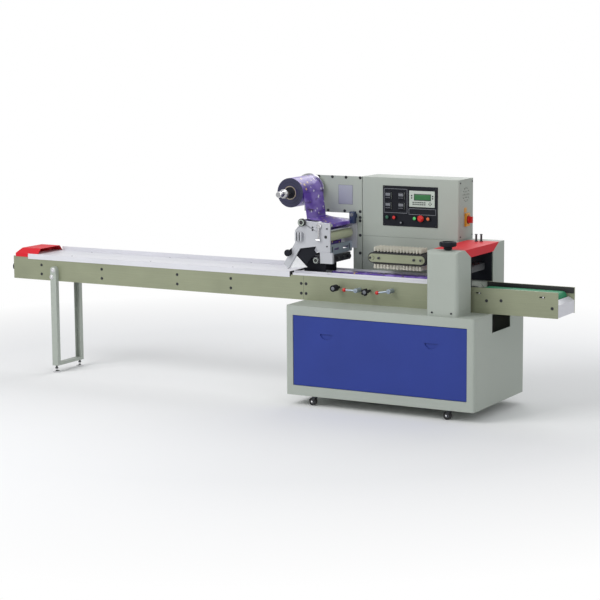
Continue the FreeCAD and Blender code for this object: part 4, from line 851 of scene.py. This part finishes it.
def pull_wheel():
    """Pale ring and rubber tyre of the wheel on the pull wheel block."""
    at = spot(-514, -180, 864)
    ring = [(0.0120, 0.001), (0.0120, 0.0028), (0.0150, 0.0028), (0.0150, 0.001)]
    turned("pull_wheel_ring", ring, at, FRONT, "pale_plastic", segments=40)
    tyre = [(0, 0), (0.0188, 0), (0.0210, -0.002), (0.0210, -0.018), (0.0200, -0.0195)]
    bm = bmesh.new()
    add_turned(bm, tyre, at, FRONT, 40)
    add_turned(bm, disc(0.0188, 0.0018), at, FRONT, 40)
    piece("pull_wheel_tyre", bm, "rubber_black")


def print_sensor():
    """Sensor that watches the film, on its arm, with its lens."""
    bm = bmesh.new()
    add_block(bm, spot(-432, 98, 1066), spot(-396, 130, 1140), 0.004)
    add_block(bm, spot(-420, 128, 1100), spot(-402, 151, 1124), 0.001)
    piece("print_sensor", bm, "sensor_blue")
    lens = [(0, 0), (0.011, 0), (0.011, 0.005), (0.008, 0.008), (0, 0.009)]
    turned("print_sensor_lens", lens, spot(-414, 98, 1120), FRONT, "grey_plastic")


def nip_bearings():
    """Dark collars of the nip roller inside both brackets and its end in front of them."""
    face = BRACKET_FACE / MM
    x, z = -455, 1007
    bm = bmesh.new()
    for y0, y1 in ((-147.6, -143), (134, 138.6)):
        add_pin(bm, spot(x, y0, z), spot(x, y1, z), 0.0165, 32, 0.001)
    add_pin(bm, spot(x, face - 3, z), spot(x, face + 0.4, z), 0.009, 24, 0.001)
    piece("nip_bearings", bm, "dark_steel", "nip_roll")


def plate_slot_shade():
    """Black blocks in the slots at both ends of the slotted plate: painted shade of the slot openings."""
    bm = bmesh.new()
    for y in (-112, 104):
        add_block(bm, spot(-436.5, y - 5, 910), spot(-433.6, y + 5, 945), 0.0005)
    piece("plate_slot_shade", bm, "black_plastic")


def seal_drive():
    """Gear box between the brackets with three shaft ends."""
    bm = bmesh.new()
    add_block(bm, spot(-474, -104, 848), spot(-424, 104, 893), 0.003)
    for y in (-70, 0, 70):
        add_pin(bm, spot(-424, y, 870), spot(-408, y, 870), 0.012, 24, 0.001)
    piece("seal_drive", bm, "dark_steel")


class FLOWWRAPPER_OT_film_path(bpy.types.Operator):
    """Roller rings, thumb lever, adjuster, folding sheets and bolts around the former"""
    bl_idname = "flow_wrapper.film_path"
    bl_label = "Film path"

    def execute(self, context):
        entry_roller_trim()
        bracket_screws(context.scene.flow_wrapper_sizes)
        for make in (adjuster, thumb_lever, tension_knob, folding_sheets, pull_wheel, print_sensor,
                     nip_bearings, plate_slot_shade, seal_drive):
            make()
        return {"FINISHED"}


# ---------------------------------------------------------------- brush conveyor
def brush_wheels():
    """X of both belt wheels, and their height."""
    low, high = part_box("brush_belt")
    return (low.x + BRUSH_RADIUS, high.x - BRUSH_RADIUS), (low.z + high.z) / 2


def brush_rows():
    """X and height of each row of bristles on the belt, with 1 for above and -1 for below."""
    (x0, x1), z = brush_wheels()
    rows = 15
    pitch = (x1 - x0) / rows
    return [(x0 + (row + 0.5) * pitch, z + way * BRUSH_RADIUS, way) for row in range(rows) for way in (-1, 1)]


def brush_belt():
    """Black belt with a lug under each row of bristles."""
    low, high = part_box("brush_belt")
    wheels, z = brush_wheels()
    half_lug, inset = 0.0065, 0.002
    bm = bmesh.new()
    add_belt_loop(bm, wheels, z, BRUSH_RADIUS, 0.007, low.y, high.y)
    for x, base, way in brush_rows():
        bottom, top = sorted((base - way * 0.001, base + way * 0.006))
        add_block(bm, Vector((x - half_lug, low.y + inset, bottom)),
                  Vector((x + half_lug, high.y - inset, top)), 0.001)
    belt = piece("brush_belt_loop", bm, "rubber_black")
    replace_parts(belt, "brush_belt")


def add_bristle(bm, start, end, radius):
    """Three-sided bristle, thinner at its tip."""
    ring, top = ([bm.verts.new(at + Vector((r * math.cos(t), r * math.sin(t), 0))) for t in (0, 2.1, 4.2)]
                 for at, r in ((start, radius), (end, radius * 0.7)))
    for n in range(3):
        m = (n + 1) % 3
        bm.faces.new([ring[n], ring[m], top[m], top[n]])
    bm.faces.new(top)


def brush_bristles(sizes):
    """Tufts of single bristles that spread and end unevenly."""
    low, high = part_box("brush_belt")
    chance = random.Random(4)
    tufts, edge_gap, tip_gap = 8, 0.008, 0.0008
    bm = bmesh.new()
    for x, base, way in brush_rows():
        root = base + way * 0.005
        tip = high.z - tip_gap if way > 0 else low.z + tip_gap
        for tuft in range(tufts):
            middle = low.y + edge_gap + (high.y - low.y - 2 * edge_gap) * tuft / (tufts - 1)
            for _ in range(sizes.bristles_per_tuft):
                dx, dy = chance.uniform(-0.0045, 0.0045), chance.uniform(-0.004, 0.004)
                start = Vector((x + dx * 0.6, middle + dy * 0.5, root))
                drop = abs(dx) * 1.4 + chance.uniform(0, 0.003)
                end_y = max(low.y, min(high.y, middle + dy * 1.5))
                add_bristle(bm, start, Vector((x + dx * 1.35, end_y, tip - way * drop)), sizes.bristle_radius)
    piece("brush_bristles", bm, "bristle_white", smooth=60)


def brush_hub_bolts():
    """Bolts of the wheels and stays on the front of the brush frame."""
    (x0, x1), z = brush_wheels()
    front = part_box("brush_frame")[0].y + 0.003
    bolt = [(0, 0), (0.0085, 0), (0.0085, 0.0045), (0.006, 0.006), (0, 0.006)]
    bm = bmesh.new()
    for x in (x0 - 0.012, x0 + 0.045, x1 - 0.045, x1):
        add_turned(bm, bolt, Vector((x, front, z)), FRONT, 6)
    piece("brush_hub_bolts", bm, "dark_steel")


class FLOWWRAPPER_OT_brushes(bpy.types.Operator):
    """Brush belt with its lugs and bristle tufts"""
    bl_idname = "flow_wrapper.brushes"
    bl_label = "Brushes"

    def execute(self, context):
        brush_belt()
        brush_bristles(context.scene.flow_wrapper_sizes)
        brush_hub_bolts()
        return {"FINISHED"}


# ---------------------------------------------------------------- controls
def fascia_frames():
    """Thin frame around the instruments and around the buttons."""
    face, bar, rise = FASCIA_FACE / MM, 3, 1.2
    bm = bmesh.new()
    for x0, x1, z0, z1 in ((-216, -58, 1139, 1288), (-48, 134, 1134, 1172)):
        bars = ((x0, z0, x1, z0 + bar), (x0, z1 - bar, x1, z1),
                (x0, z0, x0 + bar, z1), (x1 - bar, z0, x1, z1))
        for left, bottom, right, top in bars:
            add_block(bm, spot(left, face - rise, bottom), spot(right, face, top), 0.0003)
    piece("fascia_frames", bm, "grey_plastic")


def add_digit(bm, left, front, z):
    """Figure of a display: three short bars and two uprights."""
    back, face = front - 1.8, front - 2.4
    for bottom in (z + 2, z + 7, z + 12):
        add_block(bm, spot(left, face, bottom), spot(left + 4.5, back, bottom + 1))
    for x in (left, left + 3.5):
        add_block(bm, spot(x, face, z + 2), spot(x + 1, back, z + 13))


def temperature_controllers():
    """Bezels, windows, figures and keys of the four temperature controllers."""
    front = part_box("instruments")[0].y / MM
    half, window, step = 21.4, 16, 8
    bezels, windows, digits, keys = (bmesh.new() for _ in range(4))
    for x, z in ((x, z) for x in (-186, -98) for z in (1244, 1182)):
        add_block(bezels, spot(x - half, front - 1.5, z - half), spot(x + half, front + 2, z + half), 0.0012)
        add_block(windows, spot(x - window, front - 2, z - 1), spot(x + window, front - 1.2, z + 16), 0.0002)
        for n in range(3):
            add_digit(digits, x - 11 + n * step, front, z)
        for n in range(4):
            left = x - 15 + n * step
            add_block(keys, spot(left, front - 2.6, z - 14), spot(left + 5, front - 1.2, z - 9), 0.0005)
    piece("controller_bezels", bezels, "black_plastic")
    piece("controller_windows", windows, "grey_plastic")
    piece("controller_digits", digits, "digit_grey")
    piece("controller_keys", keys, "grey_plastic")


def screen():
    """Green screen of the display panel in its dark frame."""
    low, high = spot(-12, PANEL_FACE - 0.8, 1221), spot(102, PANEL_FACE, 1262)
    block("screen_frame", low, high, "dark_steel", 0.0004)
    low, high = spot(-8, PANEL_FACE - 1.2, 1225), spot(98, PANEL_FACE - 0.6, 1258)
    block("screen", low, high, "screen_green", 0.0002)


def panel_keys():
    """Two rows of keys under the screen, two keys at each end of it and four around a cross."""
    keys = [(-21 + n * 13, z, 8, 7) for n in range(7) for z in (1194, 1206)]
    keys += [(x, z, 8, 8) for x in (-31, 109) for z in (1232, 1246)]
    keys += [(93 + dx, 1200 + dz, 6, 6) for dx, dz in ((0, 8), (0, -8), (8, 0), (-8, 0))]
    bm = bmesh.new()
    for x, z, width, height in keys:
        add_block(bm, spot(x, PANEL_FACE - 1.2, z), spot(x + width, PANEL_FACE, z + height), 0.0008)
    piece("panel_keys", bm, "black_plastic")


def button_caps():
    """Domed caps of the lamps, buttons and speed dial."""
    caps = (("lamp_green", -190, 1113, 10.2, "dim_green_plastic"),
            ("lamp_red", -143, 1113, 10.2, "red_plastic"),
            ("start_button", -4, 1113, 10.2, "green_plastic"),
            ("reset_button", 86, 1113, 10.2, "orange_plastic"),
            ("speed_dial", -96, 1083, 6.2, "grey_plastic"))
    front = FASCIA_FACE / MM - 12
    for name, x, z, radius, finish in caps:
        r = radius * MM
        dome = [(0, -0.0005), (r, -0.0005), (r, 0.0022), (r * 0.9, 0.0034), (r * 0.5, 0.0042), (0, 0.0045)]
        turned(name, dome, spot(x, front, z), FRONT, finish)


def stop_ring():
    """Yellow ring behind the emergency stop."""
    ring = [(0.0103, 0), (0.0172, 0), (0.0172, 0.0015), (0.0150, 0.0024), (0.0103, 0.0024)]
    turned("stop_ring", ring, beside("emergency_stop", FASCIA_FACE), FRONT, "yellow_plastic", segments=40)


def fascia_screws(sizes):
    """Screw in each corner of the fascia."""
    corners = [spot(x, FASCIA_FACE / MM, z) for x in (-214, 134) for z in (1070, 1295)]
    screws("fascia_screws", corners, FRONT, sizes, scale=0.7)


def switch_dial():
    """Black ring around the main switch."""
    low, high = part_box("main_switch_base")
    at = Vector((high.x, (low.y + high.y) / 2, (low.z + high.z) / 2))
    dial = [(0.0222, 0), (0.0255, 0), (0.0255, 0.0008), (0.0222, 0.0012)]
    turned("switch_dial", dial, at, RIGHT, "black_plastic", segments=40)


def side_plate_blank():
    """Bare yellow plate on the side of the tower."""
    low, high = Vector((TOWER_HIGH.x, 0.226, 1.153)), Vector((TOWER_HIGH.x + 0.0008, 0.262, 1.181))
    block("side_plate_blank", low, high, "yellow_plastic", 0.0002)


def vent_hole_shade():
    """Dark discs in the round vent, one in the middle and two rings about it: painted shade of the vent's
    holes.
    """
    hole = disc(0.0049, 0.0015)
    centre = Vector((TOWER_HIGH.x - 0.0058, 0.251, 1.260))
    spacing = 0.020
    bm = bmesh.new()
    for ring in range(3):
        count = max(1, 6 * ring)
        for n in range(count):
            turn = 2 * math.pi * n / count
            at = centre + spacing * ring * Vector((0, math.cos(turn), math.sin(turn)))
            add_turned(bm, hole, at, RIGHT, 16)
    piece("vent_hole_shade", bm, "black_plastic")


def tower_screws(sizes):
    """Screws down the edges of the tower's side and back."""
    low, high = TOWER_LOW, TOWER_HIGH
    rows = (low.z + 0.03, 0.97, 1.01, high.z - 0.02)
    places = [Vector((high.x, y, z)) for y in (low.y + 0.02, high.y - 0.02) for z in rows]
    screws("tower_side_screws", places, RIGHT, sizes, scale=0.7)
    places = [Vector((x, high.y, z)) for x in (low.x + 0.03, high.x - 0.03) for z in rows]
    screws("tower_back_screws", places, BACK, sizes, scale=0.55)


class FLOWWRAPPER_OT_controls(bpy.types.Operator):
    """Instruments, display, keys, lamps and switch on the tower"""
    bl_idname = "flow_wrapper.controls"
    bl_label = "Controls"

    def execute(self, context):
        sizes = context.scene.flow_wrapper_sizes
        for make in (fascia_frames, temperature_controllers, screen, panel_keys, button_caps, stop_ring):
            make()
        fascia_screws(sizes)
        for make in (switch_dial, side_plate_blank, vent_hole_shade):
            make()
        tower_screws(sizes)
        return {"FINISHED"}


# ---------------------------------------------------------------- handles
def clamp_lever(side, height, tilt):
    """Clamp lever: a boss on the side plate, a thin arm and a red ball at its end."""
    low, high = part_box("lever_" + side)
    boss, arm_length, ball = 0.014, 0.078, 0.012
    seat = Vector((high.x - boss, PLATE_FACE - 0.0003, height))
    root = Vector((seat.x, low.y + 0.007, height))
    way = Vector((-math.cos(tilt), 0, -math.sin(tilt)))
    reach = seat.y - low.y
    bm = bmesh.new()
    add_turned(bm, [(0, 0), (boss, 0), (boss, reach - 0.002), (0.012, reach), (0.005, reach),
                    (0.004, reach - 0.003), (0, reach - 0.003)], seat, FRONT, 40)
    add_turned(bm, [(0.0058, 0), (0.0058, 0.045), (0.0050, 0.066), (0.0050, 0.070)], root, way, 24)
    arm = piece("lever_arm_" + side, bm, "aluminium", side + "_lever")
    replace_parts(arm, "lever_" + side)
    half_circle = (math.pi * (n / 16 - 0.5) for n in range(1, 16))
    profile = [(ball * math.cos(a), ball * math.sin(a)) for a in half_circle]
    turned("lever_ball_" + side, [(0, -ball), *profile, (0, ball)], root + way * arm_length, way,
           "red_plastic", side + "_lever")


def knob_cap(name, node, body):
    """Grey cap in the middle of a side knob."""
    cap = [(0, 0), (0.011, 0), (0.011, 0.0008), (0.009, 0.0016), (0, 0.0018)]
    turned(name, cap, beside(node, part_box(node)[0].y), FRONT, "grey_plastic", body)


def handwheel_grip():
    """Deep black handwheel with a dished top and twelve lobes around its rim."""
    low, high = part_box("sealer_handwheel")
    middle = (low + high) / 2
    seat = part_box("sealer_front_housing")[1].z
    at = Vector((middle.x, middle.y, seat))
    rise = high.z - seat
    lobes, lobe_depth, rim_start = 12, 0.035, 0.040
    bm = bmesh.new()
    add_turned(bm, [(0, 0), (0.017, 0), (0.017, 0.005), (0.0245, 0.005), (0.0245, 0.018), (0.036, 0.021),
                    (0.0475, 0.024), (0.050, 0.028), (0.050, rise - 0.004), (0.0465, rise), (0.036, rise),
                    (0.032, rise - 0.006), (0.012, rise - 0.006), (0.011, rise - 0.003), (0, rise - 0.003)],
               at, UP, 96)
    for vert in bm.verts:
        out = Vector((vert.co.x - at.x, vert.co.y - at.y, 0))
        if out.length > rim_start:
            wave = 1 - lobe_depth * (1 - math.cos(lobes * math.atan2(out.y, out.x))) / 2
            vert.co.x, vert.co.y = at.x + out.x * wave, at.y + out.y * wave
    grip = piece("handwheel_grip", bm, "black_plastic", "height_wheel")
    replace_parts(grip, "sealer_handwheel")


class FLOWWRAPPER_OT_handles(bpy.types.Operator):
    """Clamp levers with red balls, caps of the side knobs and the handwheel"""
    bl_idname = "flow_wrapper.handles"
    bl_label = "Handles"

    def execute(self, context):
        clamp_lever("left", 0.697, 0.0)
        clamp_lever("right", 0.706, math.radians(9))
        knob_cap("side_knob_cap", "adjusting_knob", "side_knob")
        knob_cap("star_knob_cap", "star_knob", "lobed_knob")
        handwheel_grip()
        return {"FINISHED"}


# ---------------------------------------------------------------- end sealer
def housing_screws(sizes):
    """Foot screws of the front housing and edge screws of the rear one."""
    low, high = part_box("sealer_front_housing")
    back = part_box("sealer_rear_housing")[1].y
    columns, foot = (low.x + 0.04, high.x - 0.04), low.z + 0.02
    places = [Vector((x, low.y, foot)) for x in columns]
    screws("sealer_foot_screws", places, FRONT, sizes, scale=0.9)
    places = [Vector((x, back, z)) for x in columns for z in (foot, 0.93)]
    screws("sealer_back_screws", places, BACK, sizes, scale=0.9)


def cover_stud_sleeves():
    """Sleeve with a flange and a head on each stud of the red cover."""
    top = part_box("sealer_front_housing")[1].z
    sleeve = [(0.0056, 0), (0.0100, 0), (0.0100, 0.006), (0.0062, 0.0062), (0.0062, 0.040), (0.0085, 0.041),
              (0.0085, 0.0448), (0.0060, 0.0455), (0, 0.0455)]
    bm = bmesh.new()
    for x, y in ((380, 189), (407, 202)):
        add_turned(bm, sleeve, spot(x, y, top / MM), UP, 24)
    piece("cover_stud_sleeves", bm, "dark_steel")


def throat_shade_plates():
    """Black plate on the inner face of both housings: painted shade of the dark sealer throat."""
    low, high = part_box("sealer_front_housing")
    gap, plate_top = 0.002, 0.937
    for name, y0, y1 in (("throat_shade_plate_rear", 0.1468, 0.1482), ("throat_shade_plate_front", -0.1482, -0.1468)):
        block(name, Vector((low.x + gap, y0, PLATE_TOP + gap)), Vector((high.x - gap, y1, plate_top)),
              "black_plastic", 0.0002)


def jaw_screws(sizes):
    """Row of four blade screws on each jaw."""
    for name, body in (("jaw_upper", "upper_jaw"), ("jaw_lower", "lower_jaw")):
        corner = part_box(name)[1]
        places = [Vector((corner.x - 0.02, y, corner.z - 0.0065)) for y in (-0.08, -0.03, 0.03, 0.08)]
        screws(name + "_screws", places, UP, sizes, body, 0.8)


class FLOWWRAPPER_OT_sealer(bpy.types.Operator):
    """Screws, stud sleeves, black plates of painted throat shade, and jaw screws of the end sealer"""
    bl_idname = "flow_wrapper.sealer"
    bl_label = "End sealer"

    def execute(self, context):
        sizes = context.scene.flow_wrapper_sizes
        housing_screws(sizes)
        cover_stud_sleeves()
        throat_shade_plates()
        jaw_screws(sizes)
        return {"FINISHED"}


# ---------------------------------------------------------------- discharge belt
def discharge_belt(wheels, z):
    """Green belt, low between the side plates."""
    low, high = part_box("discharge_belt")
    bm = bmesh.new()
    add_belt_loop(bm, wheels, z, BELT_RADIUS, BELT_THICKNESS, low.y, high.y)
    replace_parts(piece("discharge_belt_loop", bm, "belt_green"), "discharge_belt")


def discharge_rollers(wheels, z):
    """Both rollers of the belt on shafts that reach the side plates."""
    low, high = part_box("discharge_belt")
    shaft_reach, shaft_radius, fit = 0.1255, 0.008, 0.0002
    bm = bmesh.new()
    for x in wheels:
        add_pin(bm, Vector((x, low.y, z)), Vector((x, high.y, z)), BELT_RADIUS - BELT_THICKNESS - fit, 32)
        add_pin(bm, Vector((x, -shaft_reach, z)), Vector((x, shaft_reach, z)), shaft_radius, 24)
    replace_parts(piece("discharge_belt_rollers", bm, "bright_steel"), "discharge_rollers")


def belt_shade_strips():
    """Black strip along each side of the belt, inside the side plates: painted shade of the plates' shaded
    inner faces.
    """
    low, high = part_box("discharge_belt")
    bottom, top = BELT_TOP - 0.012, PLATE_TOP - 0.001
    bm = bmesh.new()
    for y0, y1 in ((-0.1252, -0.1225), (0.1225, 0.1252)):
        add_block(bm, Vector((low.x + 0.002, y0, bottom)), Vector((high.x - 0.006, y1, top)), 0.0005)
    piece("belt_shade_strips", bm, "rubber_black")


class FLOWWRAPPER_OT_discharge(bpy.types.Operator):
    """Belt, rollers and black strips of painted shade beside the belt at the discharge end"""
    bl_idname = "flow_wrapper.discharge"
    bl_label = "Discharge belt"

    def execute(self, context):
        low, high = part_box("discharge_belt")
        wheels, z = (low.x + BELT_RADIUS, high.x - BELT_SETBACK - BELT_RADIUS), BELT_TOP - BELT_RADIUS
        discharge_belt(wheels, z)
        discharge_rollers(wheels, z)
        belt_shade_strips()
        return {"FINISHED"}


# ---------------------------------------------------------------- studio
def mix_shaders(tree, factor, first, second, output):
    """Blend of two shaders, joined to the output node."""
    mix = tree.nodes.new("ShaderNodeMixShader")
    for value, socket in zip((factor, first, second), mix.inputs):
        tree.links.new(value, socket)
    tree.links.new(mix.outputs[0], tree.nodes[output].inputs["Surface"])


def floor_material():
    """Matt pale floor that fades to plain white far from the machine, for the camera alone."""
    material, tree, shader = new_material("studio_floor")
    shader.inputs["Roughness"].default_value = 0.9
    shader.inputs["Specular IOR Level"].default_value = 0.0
    clouds = scaled_noise(tree, (0.4, 0.4, 0.4), 2.0)
    pale = colour_mix(tree, clouds, (0.90, 0.90, 0.90), (0.92, 0.92, 0.92))
    tree.links.new(pale, shader.inputs["Base Color"])
    glow = tree.nodes.new("ShaderNodeEmission")
    place = tree.nodes.new("ShaderNodeTexCoord")
    reach = tree.nodes.new("ShaderNodeVectorMath")
    reach.operation = "LENGTH"
    tree.links.new(place.outputs["Object"], reach.inputs[0])
    away = steps(tree, reach.outputs["Value"], 2.4, 4.2)
    path = tree.nodes.new("ShaderNodeLightPath")
    seen = calculate(tree, "MULTIPLY", away, path.outputs["Is Camera Ray"])
    mix_shaders(tree, seen, shader.outputs[0], glow.outputs[0], "Material Output")
    return material


def studio_floor(scene):
    """Wide round floor."""
    bm = bmesh.new()
    bmesh.ops.create_circle(bm, cap_ends=True, radius=60, segments=64)
    mesh = bpy.data.meshes.new("floor")
    bm.to_mesh(mesh)
    bm.free()
    floor = bpy.data.objects.new("floor", mesh)
    scene.collection.objects.link(floor)
    mesh.materials.append(floor_material())


def background(node, colour, strength):
    """Sets a world shader's colour and strength."""
    node.inputs["Color"].default_value = (*colour, 1.0)
    node.inputs["Strength"].default_value = strength
    return node.outputs[0]


def studio_world(scene):
    """Soft even light, with plain white where the camera, metal and glass look."""
    world = bpy.data.worlds.new("studio")
    scene.world = world
    world.use_nodes = True
    tree = world.node_tree
    ambient = background(tree.nodes["Background"], (0.95, 0.97, 1.0), 0.50)
    white = background(tree.nodes.new("ShaderNodeBackground"), (1.0, 1.0, 1.0), 1.0)
    path = tree.nodes.new("ShaderNodeLightPath").outputs
    mirrored = calculate(tree, "MAXIMUM", path["Is Glossy Ray"], path["Is Transmission Ray"])
    seen = calculate(tree, "MAXIMUM", path["Is Camera Ray"], mirrored)
    mix_shaders(tree, seen, ambient, white, "World Output")


def studio_lamps(scene):
    """Three large soft lamps turned to the middle of the machine."""
    aim = Vector((0.3, 0, 0.8))
    lamps = (("key", (-2.5, -5.0, 5.0), 240), ("fill", (5.0, -4.0, 3.0), 50), ("back", (0.0, 4.5, 4.5), 110))
    for name, place, power in lamps:
        lamp = bpy.data.lights.new(name, "AREA")
        lamp.size = LAMP_SIZE
        lamp.energy = power
        made = bpy.data.objects.new(name, lamp)
        made.location = place
        made.rotation_euler = (aim - Vector(place)).to_track_quat("-Z", "Y").to_euler()
        scene.collection.objects.link(made)


def studio_camera(scene):
    """Camera in front of the machine, off to its right and a little above it."""
    camera = bpy.data.cameras.new("camera")
    camera.lens = scene.flow_wrapper_sizes.lens
    camera.sensor_width = 36.0
    camera.clip_end = 200.0
    eye = bpy.data.objects.new("camera", camera)
    scene.collection.objects.link(eye)
    turn, pitch, roll = math.radians(29.4), math.radians(8.5), math.radians(-0.4)
    ahead = Vector((-math.sin(turn) * math.cos(pitch), math.cos(turn) * math.cos(pitch), -math.sin(pitch)))
    level = Vector((math.cos(turn), math.sin(turn), 0))
    above = level.cross(ahead)
    right = math.cos(roll) * level + math.sin(roll) * above
    top = -math.sin(roll) * level + math.cos(roll) * above
    axes = Matrix((right, top, -ahead)).transposed().to_4x4()
    eye.matrix_world = Matrix.Translation(spot(*CAMERA_SPOT)) @ axes
    scene.camera = eye


class FLOWWRAPPER_OT_stage(bpy.types.Operator):
    """Plain pale floor, soft studio light and camera"""
    bl_idname = "flow_wrapper.stage"
    bl_label = "Studio"

    def execute(self, context):
        scene = context.scene
        studio_floor(scene)
        studio_world(scene)
        studio_lamps(scene)
        studio_camera(scene)
        scene.view_settings.view_transform = "Standard"
        return {"FINISHED"}


# ---------------------------------------------------------------- registration
OPERATORS = (
    FLOWWRAPPER_OT_finishes, FLOWWRAPPER_OT_bed, FLOWWRAPPER_OT_infeed, FLOWWRAPPER_OT_castors,
    FLOWWRAPPER_OT_reel, FLOWWRAPPER_OT_film_path, FLOWWRAPPER_OT_brushes, FLOWWRAPPER_OT_controls,
    FLOWWRAPPER_OT_handles, FLOWWRAPPER_OT_sealer, FLOWWRAPPER_OT_discharge, FLOWWRAPPER_OT_stage,
)


class FLOWWRAPPER_PT_panel(bpy.types.Panel):
    """Sizes, colours and steps of the flow wrapper"""
    bl_idname = "FLOWWRAPPER_PT_panel"
    bl_label = "Flow wrapper"
    bl_space_type = "VIEW_3D"
    bl_region_type = "UI"
    bl_category = "Flow wrapper"

    def draw(self, context):
        layout = self.layout
        for group in (context.scene.flow_wrapper_sizes, context.scene.flow_wrapper_colours):
            for name in group.__annotations__:
                layout.prop(group, name)
        for operator in OPERATORS:
            layout.operator(operator.bl_idname)


CLASSES = (FlowWrapperSizes, FlowWrapperColours, *OPERATORS, FLOWWRAPPER_PT_panel)


def register():
    for made in CLASSES:
        bpy.utils.register_class(made)
    bpy.types.Scene.flow_wrapper_sizes = bpy.props.PointerProperty(type=FlowWrapperSizes)
    bpy.types.Scene.flow_wrapper_colours = bpy.props.PointerProperty(type=FlowWrapperColours)


def unregister():
    del bpy.types.Scene.flow_wrapper_colours
    del bpy.types.Scene.flow_wrapper_sizes
    for made in reversed(CLASSES):
        bpy.utils.unregister_class(made)


def main():
    register()
    for operator in OPERATORS:
        group, name = operator.bl_idname.split(".")
        getattr(getattr(bpy.ops, group), name)()
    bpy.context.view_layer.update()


if __name__ == "__main__":
    main()
